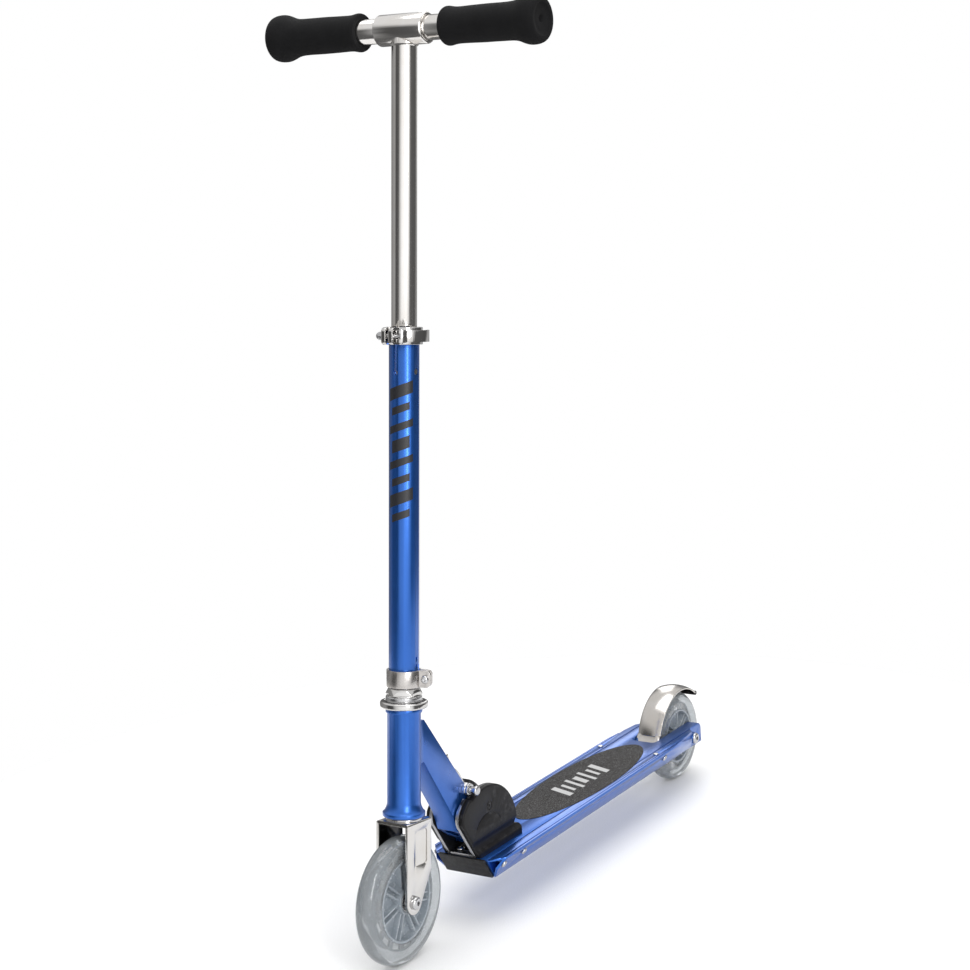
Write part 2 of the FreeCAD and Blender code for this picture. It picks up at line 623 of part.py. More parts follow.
def head_tube():
    """The tube with its lip under the upper cup and its ringed foot with a waist above."""
    r, foot = HEAD_OD / 2, HEAD_BOTTOM
    ring_top, waist_top = foot + FLARE_RING, foot + FLARE_HEIGHT
    a, b, c = V(FLARE_R - 1.2, 0, foot), V(FLARE_R, 0, foot + 1.2), V(FLARE_R, 0, ring_top - 1.2)
    d, e = V(FLARE_R - 1.5, 0, ring_top), V(r, 0, waist_top)
    sag = V(r + FLARE_WALL * 0.22, 0, foot + FLARE_HEIGHT * 0.55)
    axis_low, axis_high = V(0, 0, foot), V(0, 0, waist_top)
    section = face_from([line(axis_low, a), line(a, b), line(b, c), line(c, d), arc(d, sag, e),
                         line(e, axis_high), line(axis_high, axis_low)])
    lip = rod(r + HEAD_LIP, V(0, 0, HEAD_TOP - HEAD_LIP_HEIGHT), Z, HEAD_LIP_HEIGHT)
    shape = rod(r, V(0, 0, foot), Z, HEAD_TOP - foot)
    return in_steering(shape.fuse([section.revolve(V(0, 0, 0), Z, 360), lip]))


def lock_centre():
    return polar(PIVOT, LOCK_R, LOCK_TURN)


def lock_slot():
    """Room in the beam for the rollers, and a wider one for the lever's knuckle."""
    lock = lock_centre()
    _, away = beam_run()
    cuts = []
    for r, half in ((ROLLER_R, PLATE_OUT), (ROLLER_R + 1.0, LEVER_WIDTH / 2 + CLEAR)):
        way_out = block(-r, r, -half, half, 0, 30)
        way_out.Placement = FreeCAD.Placement(lock, FreeCAD.Rotation(Z, away))
        cuts += [cross_rod(r, lock, half), way_out]
    return cuts


def neck():
    """Head tube and the beam that carries the fold pivot, welded together."""
    barrel = cross_rod(BARREL_R, PIVOT, PLATE_IN - CLEAR)
    shape = beam().fuse([barrel, head_tube()]).removeSplitter()
    bore = rod(HEAD_ID / 2, V(0, 0, HEAD_BOTTOM - 1), Z, HEAD_TOP - HEAD_BOTTOM + 2)
    race_seat = rod(LOWER_CUP_R, V(0, 0, HEAD_BOTTOM - 1), Z, 9)
    shape = shape.cut(in_steering(bore)).cut(in_steering(race_seat))
    shape = shape.cut(cross_rod(FOLD_PIN_D / 2 + RUNNING, PIVOT, PLATE_IN + 1))
    for room in lock_slot():
        shape = shape.cut(room)
    arch, window_r, reach = V(PIVOT.x + 40, 0, PIVOT.z + 14), 8.5, 60.0
    window = rod(window_r, arch - V(30, 0, -18), V(60, 0, -36).normalize(), reach)
    return shape.cut(window)


def lock_rod():
    """The cross rod that the fold lever clamps down, with its round head and its nut."""
    lock = lock_centre()
    end = COVER_OUT + 1.5
    shape = cross_rod(LOCK_ROD_D / 2, lock, end)
    head = domed_head(5.6, 4.0, V(lock.x, end, lock.z), Y)
    nut = hex_bar(10.5, V(lock.x, -end - 4.5, lock.z), Y, 4.5)
    return shape.fuse(head).fuse(nut).removeSplitter()


def lock_rollers():
    lock = lock_centre()
    ring = cross_tube(ROLLER_R, LOCK_ROD_D / 2, lock, LEVER_WIDTH / 2 + CLEAR, PLATE_OUT + 0.5)
    groove = cross_tube(ROLLER_R + 1, ROLLER_R - 0.6, lock, PLATE_IN + 1.0, PLATE_IN + 1.8)
    return both_sides(ring.cut(groove))


def fold_lever():
    """The fold lock's lever: a knuckle on the cross rod and a long curved blade along the beam."""
    lock, half = lock_centre(), LEVER_WIDTH / 2
    knuckle_r, length = ROLLER_R - CLEAR, LEVER_LENGTH
    along, away = beam_run()
    low, high = knuckle_r - LEVER_THICK, knuckle_r

    def at(run, rise):
        return lock + along * run + away * rise

    edges = [line(at(0, low), at(0, high)), arc(at(0, high), at(14, high + 2.2), at(28, high + 0.6)),
             arc(at(28, high + 0.6), at(40, high - 0.8), at(length, high + 2.6)),
             arc(at(length, high + 2.6), at(length + 3, high + 1), at(length + 2.4, high - 2)),
             line(at(length + 2.4, high - 2), at(length - 0.2, high - 1)),
             arc(at(length - 0.2, high - 1), at(40, low - 0.6), at(28, low + 0.8)),
             arc(at(28, low + 0.8), at(14, low + 2.2), at(0, low))]
    blade = face_from(edges).extrude(Y * LEVER_WIDTH)
    blade.translate(Y * -half)
    shape = cross_rod(knuckle_r, lock, half).fuse(blade).removeSplitter()
    return shape.cut(cross_rod(LOCK_ROD_D / 2 + RUNNING, lock, half + 1))


def headset_upper_cup():
    """A thin rounded dish pressed into the top of the head tube."""
    shape = rod(CUP_R, V(0, 0, HEAD_TOP), Z, CUP_HEIGHT)
    shape = shape.makeFillet(2.4, [e for e in shape.Edges if len(e.Vertexes) == 1])
    shape = shape.fuse(rod(HEAD_ID / 2, V(0, 0, HEAD_TOP - 9), Z, 10)).removeSplitter()
    shape = shape.cut(rod(STEERER_R + 0.8, V(0, 0, HEAD_TOP - 10), Z, CUP_HEIGHT + 12))
    shape = shape.cut(rod(CUP_BORE_R, V(0, 0, HEAD_TOP + CUP_FLOOR), Z, CUP_HEIGHT))
    return in_steering(shape)


def headset_lower_cup():
    return in_steering(tube(LOWER_CUP_R, STEERER_R + 0.8, V(0, 0, HEAD_BOTTOM + 2 * LOWER_BALL_R), Z, 4.6))


def ball_ring(count, ring_r, ball_r, height):
    balls = []
    for i in range(count):
        turn = 2 * math.pi * i / count
        balls.append(Part.makeSphere(ball_r, V(ring_r * math.cos(turn), ring_r * math.sin(turn), height)))
    return balls


def headset_balls():
    upper = ball_ring(20, CONE_R - 2.6, UPPER_BALL_R, HEAD_TOP + CUP_FLOOR + UPPER_BALL_R)
    lower = ball_ring(18, STEERER_R + 3.3, LOWER_BALL_R, HEAD_BOTTOM + LOWER_BALL_R)
    return in_steering(Part.makeCompound(upper + lower))


# ---------------------------------------------------------------- fork and lower column
def leg_profile():
    """Outline of one fork leg in the steering frame's XZ plane."""
    axle = V(FORK_OFFSET, 0, -CROWN_TO_AXLE)
    half = CROWN_LENGTH / 2
    front_r = half - FORK_OFFSET
    back_top, back_low = V(-half, 0, 0), V(-half, 0, -LEG_TAPER_START)
    reach = back_low.sub(axle)
    spread = math.degrees(math.acos(LEG_END_R / reach.Length))
    tangent = math.degrees(math.atan2(reach.z, reach.x)) + spread
    touch = polar(axle, LEG_END_R, tangent)
    front_low = V(axle.x + LEG_END_R, 0, axle.z)
    front_top = V(half, 0, 0)
    knee = V(half, 0, axle.z + 18)
    edges = [line(back_top, back_low), line(back_low, touch)]
    edges.append(arc(touch, polar(axle, LEG_END_R, (tangent + 360) / 2), front_low))
    if abs(front_r - LEG_END_R) > 0.01:
        edges.append(line(front_low, knee))
        edges.append(line(knee, front_top))
    else:
        edges.append(line(front_low, front_top))
    edges.append(line(front_top, back_top))
    return edges


def fork():
    """Pressed crown and legs with the steerer tube welded on top."""
    half = CROWN_LENGTH / 2
    leg = face_from(leg_profile()).extrude(Y * FORK_PLATE)
    leg.translate(Y * LEG_IN)
    x0, x1 = -half + 8.5, half - 14.5
    panel = block(x0, x1, LEG_OUT - 1.2, LEG_OUT + 1, -50, -10.5)
    panel = panel.makeFillet(3.5, [e for e in panel.Edges if abs(e.BoundBox.YLength) > 1.5])
    leg = leg.cut(panel)
    crown = block(-half, half, -LEG_OUT, LEG_OUT, -FORK_PLATE, 0)
    body = crown.fuse(leg).fuse(mirrored(leg)).removeSplitter()
    top = [e for e in body.Edges if e.BoundBox.ZMin > -0.01 and e.BoundBox.XLength > CROWN_LENGTH - 1]
    rims = [e for e in top if abs(abs(e.BoundBox.YMin) - LEG_OUT) < 0.01]
    body = body.makeFillet(2.6, rims)
    axle = V(FORK_OFFSET, 0, -CROWN_TO_AXLE)
    body = body.cut(cross_rod(AXLE_D / 2, axle, LEG_OUT + 1))
    inner, weld = STEERER_R - STEERER_WALL, 1.6
    steerer = tube(STEERER_R, inner, V(0, 0, 0), Z, STEERER_TOP)
    weld = Part.makeCone(STEERER_R + weld, STEERER_R, weld, V(0, 0, 0), Z).cut(rod(inner, V(0, 0, -1), Z, 5))
    return in_steering(body.fuse(steerer).fuse(weld).removeSplitter())


def crown_race():
    return in_steering(tube(STEERER_R + 6.4, STEERER_R + 1.7, V(0, 0, 0), Z, HEAD_BOTTOM - 0.5))


def headset_cone():
    """The threaded cone that sits on the upper balls and closes the cup."""
    bottom = HEAD_TOP + CUP_FLOOR + 2 * UPPER_BALL_R + 0.1
    top = HEAD_TOP + CUP_HEIGHT + CONE_HEIGHT
    shape = rod(CONE_R, V(0, 0, bottom), Z, top - bottom)
    shape = shape.makeFillet(1.2, [e for e in shape.Edges if e.BoundBox.ZMin > top - 0.01])
    return in_steering(shape.cut(rod(STEERER_R, V(0, 0, HEAD_TOP), Z, top)))


def headset_locknut():
    nut = hex_bar(LOCKNUT_ACROSS, V(0, 0, LOCKNUT_BOTTOM), Z, LOCKNUT_HEIGHT)
    half = LOCKNUT_ACROSS / 2
    nut = nut.common(Part.makeCone(half + 3.4, half - 0.6, LOCKNUT_HEIGHT, V(0, 0, LOCKNUT_BOTTOM), Z))
    return in_steering(nut.cut(rod(STEERER_R, V(0, 0, LOCKNUT_BOTTOM - 1), Z, LOCKNUT_HEIGHT + 3)))


def headset_washer():
    start = V(0, 0, LOCKNUT_BOTTOM - WASHER_THICK)
    return in_steering(tube(LOCKNUT_ACROSS / 2 + 1.5, STEERER_R, start, Z, WASHER_THICK))


def lower_column():
    """The painted tube: clamped on the steerer, split at the top for the height clamp."""
    length = COLUMN_TOP - COLUMN_BOTTOM
    shape = tube(COLUMN_OD / 2, COLUMN_ID / 2, V(0, 0, COLUMN_BOTTOM), Z, length)
    half = SLIT_WIDTH / 2
    slit = block(0, COLUMN_OD, -half, half, COLUMN_TOP - SLIT_DEPTH, COLUMN_TOP + 1)
    relief = rod(half + 1.3, V(0, 0, COLUMN_TOP - SLIT_DEPTH), X, COLUMN_OD)
    hole_r = LOCK_BUTTON_D / 2 + SLIDING
    lock_hole = rod(hole_r, V(0, 0, LOCK_HOLE_Z), Y, COLUMN_OD)
    groove_low = LOCK_HOLE_Z - HEIGHT_TRAVEL - 8
    groove = block(-hole_r, hole_r, 0, COLUMN_ID / 2 + GUIDE_GROOVE, groove_low, LOCK_HOLE_Z)
    shape = shape.cut(slit).cut(relief).cut(lock_hole).cut(groove)
    for up in (24.0, 32.0):
        shape = shape.cut(rod(1.6, V(0, COLUMN_OD / 2 - 1.2, COLUMN_BOTTOM + up), Y, COLUMN_OD))
    low_slit = block(0, COLUMN_OD, -half, half, COLUMN_BOTTOM - 1, COLUMN_BOTTOM + BAND_WIDTH + 6)
    low_slit.Placement = FreeCAD.Placement(V(0, 0, 0), FreeCAD.Rotation(Z, BAND_EAR_TURN))
    return in_steering(shape.cut(low_slit))


def band(inner_r, thick, width, ear_reach, ear_thick, gap):
    """A split band with two ears on its +X side, from z = 0 up."""
    ring = rod(inner_r + thick, V(0, 0, 0), Z, width)
    ears = block(inner_r, ear_reach, -gap / 2 - ear_thick, gap / 2 + ear_thick, 0, width)
    tips = [e for e in ears.Edges if e.BoundBox.XMin > ear_reach - 0.01 and e.BoundBox.YLength > 1]
    shape = ring.fuse(ears.makeFillet(min(5.0, width / 3), tips)).removeSplitter()
    shape = shape.cut(rod(inner_r, V(0, 0, -1), Z, width + 2))
    return shape.cut(block(0, ear_reach + 1, -gap / 2, gap / 2, -1, width + 1))


def on_column_band(shape):
    """Puts a piece drawn with the ears along +X at the column's foot."""
    shape.Placement = FreeCAD.Placement(V(0, 0, BAND_BOTTOM), FreeCAD.Rotation(Z, BAND_EAR_TURN))
    return in_steering(shape)


def column_clamp_band():
    shape = band(COLUMN_OD / 2, BAND_THICK, BAND_WIDTH, BAND_EAR_REACH, BAND_EAR_THICK, BAND_EAR_GAP)
    return on_column_band(shape.cut(cross_rod(2.5, V(BAND_EAR_REACH - 6, 0, BAND_WIDTH / 2), 20)))


def column_clamp_bolt():
    axis = V(BAND_EAR_REACH - 6, 0, BAND_WIDTH / 2)
    out = BAND_EAR_GAP / 2 + BAND_EAR_THICK
    head = domed_head(4.4, 4.2, axis - Y * out, -Y, socket=4.0)
    nut = hex_bar(8.0, axis + Y * out, Y, 4.0)
    return on_column_band(cross_rod(2.5, axis, out).fuse([head, nut]).removeSplitter())


def height_clamp():
    shape = band(COLUMN_OD / 2, HEIGHT_CLAMP_THICK, HEIGHT_CLAMP_WIDTH, CLAMP_REACH, CLAMP_EAR_THICK,
                 CLAMP_EAR_GAP)
    shape = shape.cut(cross_rod(CLAMP_AXLE_D / 2, V(CLAMP_AXLE_X, 0, HEIGHT_CLAMP_WIDTH / 2), 20))
    shape.translate(Z * CLAMP_BOTTOM)
    return in_steering(shape)


def height_clamp_axle():
    """Skewer with its acorn nut on the right and the lever's pivot pin on the left."""
    r, washer_thick, nut_thick = CLAMP_AXLE_D / 2, 1.2, 5.0
    x, z = CLAMP_AXLE_X, CLAMP_MIDDLE
    washer_y = -CLAMP_EAR_OUT - washer_thick
    nut_y = washer_y - nut_thick
    shape = rod(r, V(x, nut_y, z), Y, LEVER_PIVOT.y - nut_y)
    washer = rod(2 * r, V(x, washer_y, z), Y, washer_thick)
    nut = hex_bar(9.0, V(x, nut_y, z), Y, nut_thick)
    dome = Part.makeSphere(4.4, V(x, nut_y, z))
    pin = rod(LEVER_PIN_D / 2, LEVER_PIVOT - Z * 8, Z, 16)
    return in_steering(shape.fuse([washer, nut, dome, pin]).removeSplitter())


def height_lever():
    """Cam lever that curls round the left side of the column when it is shut."""
    axis, half = LEVER_PIVOT, 6.5
    inner = COLUMN_OD / 2 + HEIGHT_CLAMP_THICK + 4.5
    outer = inner + 2.8
    first, last = 42, 128

    def ring_point(radius, degrees):
        turn = math.radians(degrees)
        return V(radius * math.cos(turn), radius * math.sin(turn), axis.z - half)

    mid = (first + last) / 2
    edges = [line(ring_point(inner, first), ring_point(outer, first)),
             arc(ring_point(outer, first), ring_point(outer, mid), ring_point(outer, last)),
             line(ring_point(outer, last), ring_point(inner, last)),
             arc(ring_point(inner, last), ring_point(inner, mid), ring_point(inner, first))]
    blade = face_from(edges).extrude(Z * 2 * half)
    corners = [ring_point(inner, first), ring_point(outer, first),
               axis + V(1, 6, -half), axis + V(-5, 2, -half)]
    link = Part.Face(Part.makePolygon(corners + corners[:1])).extrude(Z * 2 * half)
    cam = rod(6.0, axis - Z * 7, Z, 14)
    shape = cam.fuse([blade, link]).removeSplitter()
    room = CLAMP_AXLE_D / 2 + 0.5
    swing = rod(6.6, axis - Z * room, Z, 2 * room).fuse(rod(room, V(axis.x, 0, axis.z), Y, axis.y))
    swing = swing.common(block(axis.x - 8, axis.x + 12, axis.y - 14, axis.y + room,
                               axis.z - room, axis.z + room))
    return in_steering(shape.cut(swing).cut(rod(LEVER_PIN_D / 2 + RUNNING, axis - Z * 9, Z, 18)))


# ---------------------------------------------------------------- upper column and handles
def upper_column():
    """The polished post with the handle sleeve welded across its top."""
    bar = V(0, 0, BAR_HEIGHT)
    post = tube(POST_OD / 2, POST_OD / 2 - POST_WALL, V(0, 0, POST_BOTTOM), Z, BAR_HEIGHT - POST_BOTTOM)
    weld = Part.makeCone(POST_OD / 2, POST_OD / 2 + 1.8, 2.0, V(0, 0, BAR_HEIGHT - SLEEVE_OD / 2 - 1.2), Z)
    post = post.fuse(weld.cut(rod(POST_OD / 2 - 1, V(0, 0, POST_BOTTOM), Z, BAR_HEIGHT)))
    post = post.cut(cross_rod(SLEEVE_OD / 2, bar, POST_OD))
    post = post.cut(rod(LOCK_BUTTON_D / 2 + SLIDING, V(0, 0, LOCK_HOLE_Z), Y, POST_OD))
    return in_steering(post)


def bar_sleeve():
    bar, half = V(0, 0, BAR_HEIGHT), SLEEVE_LENGTH / 2
    shape = cross_rod(SLEEVE_OD / 2, bar, half)
    shape = shape.makeChamfer(1.4, [e for e in shape.Edges if e.BoundBox.YLength < 0.01])
    return in_steering(shape.cut(cross_rod(HANDLE_TUBE_OD / 2 + SLIDING, bar, half + 1)))


def height_lock_clip():
    """A bent leaf spring inside the post; its button runs in the lower column's groove."""
    z, leaf_y = LOCK_HOLE_Z, 6.0
    stem = rod(LOCK_BUTTON_D / 2, V(0, leaf_y, z), Y, COLUMN_ID / 2 + GUIDE_GROOVE - 0.3 - leaf_y)
    tip = [e for e in stem.Edges if abs(e.BoundBox.YMin - stem.BoundBox.YMax) < 0.01]
    stem = stem.makeFillet(0.9, tip)
    leaf = block(-4, 4, leaf_y - 1, leaf_y, z - 22, z + 5)
    wall = POST_WALL - POST_OD / 2 * math.cos(math.asin(8 / POST_OD))
    far = wall + LOCK_BUTTON_TRAVEL + 0.2
    bow = slabx([(leaf_y - 1, z - 22), (leaf_y, z - 22), (far + 1, z + 4), (far, z + 4)], -4, 4)
    return in_steering(stem.fuse(leaf).fuse(bow).removeSplitter())


def handle_tube():
    bar = V(0, 0, BAR_HEIGHT)
    r = HANDLE_TUBE_OD / 2
    return in_steering(cross_tube(r, r - HANDLE_TUBE_WALL, bar, HANDLE_GAP / 2, TUBE_END))


def grip():
    """Soft foam grip, closed at its outer end, with a flare at each end."""
    bar = V(0, 0, BAR_HEIGHT)
    inner, middle, outer = GRIP_INNER_D / 2, GRIP_MID_D / 2, GRIP_OUTER_D / 2
    a, b = GRIP_START, GRIP_END
    profile = [(inner - 2.5, a), (inner, a + 3), (inner - 0.6, a + 8), (middle - 0.6, a + 18),
               (middle, (a + b) / 2), (middle + 0.3, b - 40), (middle + 2.2, b - 27), (outer - 2.0, b - 18),
               (outer, b - 12), (outer - 1.2, b - 5), (outer - 5, b), (0, b), (0, a)]
    wire = Part.makePolygon([V(0, y, BAR_HEIGHT + r) for r, y in profile + profile[:1]])
    shape = Part.Face(wire).revolve(bar, Y, 360)
    shape = shape.cut(rod(HANDLE_TUBE_OD / 2, V(0, a - 1, BAR_HEIGHT), Y, TUBE_END - a + 1))
    shape = shape.cut(rod(outer - 10, V(0, b - 1.8, BAR_HEIGHT), Y, 3))
    return in_steering(shape)


# ---------------------------------------------------------------- wheels
def ring_windows(count, inner, outer, share, centre, half):
    """Rounded windows between two radii, evenly spread round a wheel."""
    windows = []
    for i in range(count):
        mid = 360.0 * (i + 0.5) / count
        span = 360.0 / count * share / 2
        a, b = mid - span, mid + span
        edges = [arc_about(centre, inner, a, b), line(polar(centre, inner, b), polar(centre, outer, b)),
                 arc_about(centre, outer, b, a), line(polar(centre, outer, a), polar(centre, inner, a))]
        solid = face_from(edges).extrude(Y * (2 * half))
        solid.translate(Y * -half)
        windows.append(solid)
    return windows


def spoke(centre, degrees, ring_r):
    """One pair of straight ribs from the hub to the ring, a little apart."""
    ribs = []
    for lean in (-1, 1):
        foot = polar(centre, HUB_R - 1.5, degrees + lean * 15)
        tip = polar(centre, ring_r - CORE_LIP / 2, degrees + lean * 5.5)
        run = tip.sub(foot)
        half = WHEEL_HALF - 4.5
        rib = block(0, run.Length, -half, half, -RIB_THICK / 2, RIB_THICK / 2)
        rib.Placement = FreeCAD.Placement(foot, FreeCAD.Rotation(X, run))
        ribs.append(rib)
    return ribs


def wheel_core(centre, ring_r):
    hub = cross_rod(HUB_R, centre, HUB_HALF)
    ring_half = WHEEL_HALF - 2.2
    ring = cross_tube(ring_r, ring_r - CORE_LIP, centre, -ring_half, ring_half)
    web = cross_tube(ring_r - 1, HUB_R - 1, centre, -WEB_THICK / 2, WEB_THICK / 2)
    flange = cross_tube(ring_r + FLANGE_DEPTH, ring_r - 1, centre, -FLANGE_THICK / 2, FLANGE_THICK / 2)
    inner, outer = ring_r + 2.2, ring_r + FLANGE_DEPTH - 1.8
    for window in ring_windows(FLANGE_WINDOWS, inner, outer, 0.62, centre, FLANGE_THICK):
        flange = flange.cut(window)
    shape = hub.fuse([ring, web, flange])
    ribs = []
    for i in range(SPOKE_PAIRS):
        ribs += spoke(centre, 90 + 360.0 * i / SPOKE_PAIRS, ring_r)
    shape = shape.fuse(ribs).removeSplitter()
    shape = shape.cut(cross_rod(BEARING_OD / 2 - 2, centre, HUB_HALF + 1))
    for side in (1, -1):
        floor = V(centre.x, side * (HUB_HALF - BEARING_W), centre.z)
        shape = shape.cut(rod(BEARING_OD / 2, floor, Y * side, BEARING_W + 1))
    return shape


def tyre(centre, wheel_r, ring_r, core):
    """Cast urethane tyre with a rounded tread, gripping the core's flange."""
    w, shoulder = WHEEL_HALF, wheel_r - WHEEL_HALF
    top = V(0, 0, wheel_r)
    left, right = V(0, w, shoulder), V(0, -w, shoulder)
    left_mid, right_mid = V(0, w * 0.78, wheel_r - w * 0.34), V(0, -w * 0.78, wheel_r - w * 0.34)
    left_foot, right_foot = V(0, w - 2.2, ring_r), V(0, -w + 2.2, ring_r)
    edges = [line(left_foot, left), arc(left, left_mid, top), arc(top, right_mid, right),
             line(right, right_foot), line(right_foot, left_foot)]
    solid = face_from(edges).revolve(V(0, 0, 0), Y, 360)
    solid.translate(centre)
    return solid.cut(core)


def bearing_rings(centre, outer, inner):
    """One ring of each of a wheel's two bearings, with the balls' groove."""
    rings = []
    for side in (1, -1):
        y0, y1 = sorted((side * HUB_HALF, side * (HUB_HALF - BEARING_W)))
        groove = Part.makeTorus(BALL_RING_R, BEARING_BALL_R + 0.2, V(centre.x, (y0 + y1) / 2, centre.z), Y)
        rings.append(cross_tube(outer, inner, centre, y0, y1).cut(groove))
    return Part.makeCompound(rings)


def bearing_outer(centre):
    return bearing_rings(centre, BEARING_OD / 2, BEARING_OD / 2 - BEARING_RACE)


def bearing_inner(centre):
    return bearing_rings(centre, BEARING_ID / 2 + BEARING_RACE, BEARING_ID / 2)


def bearing_balls(centre):
    balls, count = [], 7
    for side in (1, -1):
        middle = V(centre.x, side * (HUB_HALF - BEARING_W / 2), centre.z)
        for i in range(count):
            balls.append(Part.makeSphere(BEARING_BALL_R, polar(middle, BALL_RING_R, 360.0 * i / count)))
    return Part.makeCompound(balls)


def axle_spacers(centre, frame_half):
    """The sleeve between the two bearings and the collars out to the frame."""
    r = AXLE_D / 2
    mid = cross_tube(SPACER_OD / 2, r, centre, -HUB_HALF + BEARING_W, HUB_HALF - BEARING_W)
    collar = cross_tube(SPACER_OD / 2, r, centre, HUB_HALF, frame_half)
    return Part.makeCompound([mid, collar, mirrored(collar)])


def axle_bolt(centre, outer_half):
    """Round-headed bolt from the left, with its socket."""
    head = domed_head(7.4, 5.0, V(centre.x, outer_half, centre.z), Y, socket=5.0)
    shank = rod(AXLE_D / 2, V(centre.x, -outer_half - 7.5, centre.z), Y, 2 * outer_half + 7.5)
    return shank.fuse(head).removeSplitter()


def axle_nut(centre, outer_half):
    nut = hex_bar(13.0, V(centre.x, -outer_half, centre.z), -Y, 6.5)
    collar = rod(7.3, V(centre.x, -outer_half, centre.z), -Y, 1.4)
    return nut.fuse(collar).removeSplitter().cut(cross_rod(AXLE_D / 2, centre, outer_half + 20))


# ---------------------------------------------------------------- rear brake
def brake_fender():
    """Sprung steel mudguard that is pressed on the tyre as a brake."""
    c, r, half = REAR_AXLE, FENDER_INNER_R, FENDER_HALF
    low = [V(c.x, half, c.z + r), V(c.x, 0, c.z + r + FENDER_CROWN), V(c.x, -half, c.z + r)]
    high = [p + Z * FENDER_THICK for p in low]
    face = face_from([arc(*low), line(low[2], high[2]), arc(high[2], high[1], high[0]),
                      line(high[0], low[0])])
    face.rotate(c, Y, 90 - FENDER_FRONT_TURN)
    shell = face.revolve(c, Y, -(FENDER_REAR_TURN - FENDER_FRONT_TURN))
    reach = polar(c, r + FENDER_THICK, FENDER_FRONT_TURN + 1).sub(BRAKE_PIVOT)
    strap = block(0, reach.Length, -half, half, -1.4, 1.4)
    strap.Placement = FreeCAD.Placement(BRAKE_PIVOT, FreeCAD.Rotation(X, reach))
    shape = shell.fuse([cross_rod(KNUCKLE_R, BRAKE_PIVOT, half), strap]).removeSplitter()
    shape = shape.cut(cross_rod(KNUCKLE_R + 0.2, BRAKE_PIVOT, SPRING_PITCH * SPRING_TURNS / 2 + 2.2))
    shape = shape.cut(cross_rod(r - 1.2, c, half + 1))
    return shape.cut(cross_rod(BRAKE_PIN_D / 2 + RUNNING, BRAKE_PIVOT, half + 1))


def brake_tip():
    """The black bead along the fender's rear edge."""
    centre = polar(REAR_AXLE, FENDER_INNER_R + FENDER_THICK, FENDER_REAR_TURN + 2.2)
    return cross_rod(3.0, centre, FENDER_HALF - 1).cut(brake_fender())


def brake_pivot_pin():
    shank = cross_rod(BRAKE_PIN_D / 2, BRAKE_PIVOT, CORE_HALF)
    head = domed_head(4.6, 2.0, V(BRAKE_PIVOT.x, CORE_HALF, BRAKE_PIVOT.z), Y)
    return shank.fuse(head).fuse(mirrored(head)).removeSplitter()


def brake_spring():
    """Torsion spring on the pivot pin, between the fender's two knuckles."""
    coil_r, length = BRAKE_PIN_D / 2 + 1.3, SPRING_PITCH * SPRING_TURNS
    helix = Part.makeHelix(SPRING_PITCH, length, coil_r)
    circle = Part.Wire(Part.Circle(V(coil_r, 0, 0), Y, SPRING_WIRE_R).toShape())
    coil = Part.Wire(helix.Edges).makePipeShell([circle], True, True)
    coil.Placement = FreeCAD.Placement(BRAKE_PIVOT + Y * length / 2, FreeCAD.Rotation(X, 90))
    return coil


# ---------------------------------------------------------------- build
def wheel_pieces(place, centre, wheel_r, ring_r, frame_in, frame_out):
    """One wheel with its bearings and its axle, in nodes whose names start with place."""
    core = wheel_core(centre, ring_r)
    return {
        place + "_wheel_core": core,
        place + "_tyre": tyre(centre, wheel_r, ring_r, core),
        place + "_bearing_outer_rings": bearing_outer(centre),
        place + "_bearing_balls": bearing_balls(centre),
        place + "_bearing_inner_rings": bearing_inner(centre),
        place + "_axle_spacers": axle_spacers(centre, frame_in),
        place + "_axle_bolt": axle_bolt(centre, frame_out),
        place + "_axle_nut": axle_nut(centre, frame_out),
    }


def main():
    os.makedirs("parts", exist_ok=True)
    cover, tube_left, grip_left = fold_cover(), handle_tube(), grip()
    pieces = {
        "deck": deck(),
        "deck_end_cap": deck_end_cap(),
        "grip_tape": grip_tape(),
        "deck_screws": deck_screws(),
        "deck_rivets": deck_rivets(),
        "fold_bracket": fold_bracket(),
        "fold_cover_left": cover,
        "fold_cover_right": mirrored(cover),
        "fold_pivot_pin": fold_pivot_pin(),
        "bracket_bolts": bracket_bolts(),
        "neck": neck(),
        "lock_rod": lock_rod(),
        "lock_rollers": lock_rollers(),
        "fold_lever": fold_lever(),
        "headset_upper_cup": headset_upper_cup(),
        "headset_lower_cup": headset_lower_cup(),
        "headset_balls": headset_balls(),
        "crown_race": crown_race(),
        "headset_cone": headset_cone(),
        "headset_washer": headset_washer(),
        "headset_locknut": headset_locknut(),
        "fork": fork(),
        "lower_column": lower_column(),
        "column_clamp_band": column_clamp_band(),
        "column_clamp_bolt": column_clamp_bolt(),
        "height_clamp": height_clamp(),
        "height_clamp_axle": height_clamp_axle(),
        "height_lever": height_lever(),
        "upper_column": upper_column(),
        "bar_sleeve": bar_sleeve(),
        "height_lock_clip": height_lock_clip(),
        "left_handle_tube": tube_left,
        "right_handle_tube": mirrored(tube_left),
        "left_grip": grip_left,
        "right_grip": mirrored(grip_left),
        "brake_fender": brake_fender(),
        "brake_tip": brake_tip(),
        "brake_pivot_pin": brake_pivot_pin(),
        "brake_spring": brake_spring(),
    }
    pieces.update(wheel_pieces("front", FRONT_AXLE, FRONT_WHEEL_R, FRONT_RING_R, LEG_IN, LEG_OUT))
    pieces.update(wheel_pieces("rear", REAR_AXLE, REAR_WHEEL_R, REAR_RING_R, SLOT_WIDTH / 2, CORE_HALF))
    for name, shape in pieces.items():
        export(name, shape)


main()
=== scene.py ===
import json
import math

import bpy
import numpy as np
from mathutils import Matrix, Vector


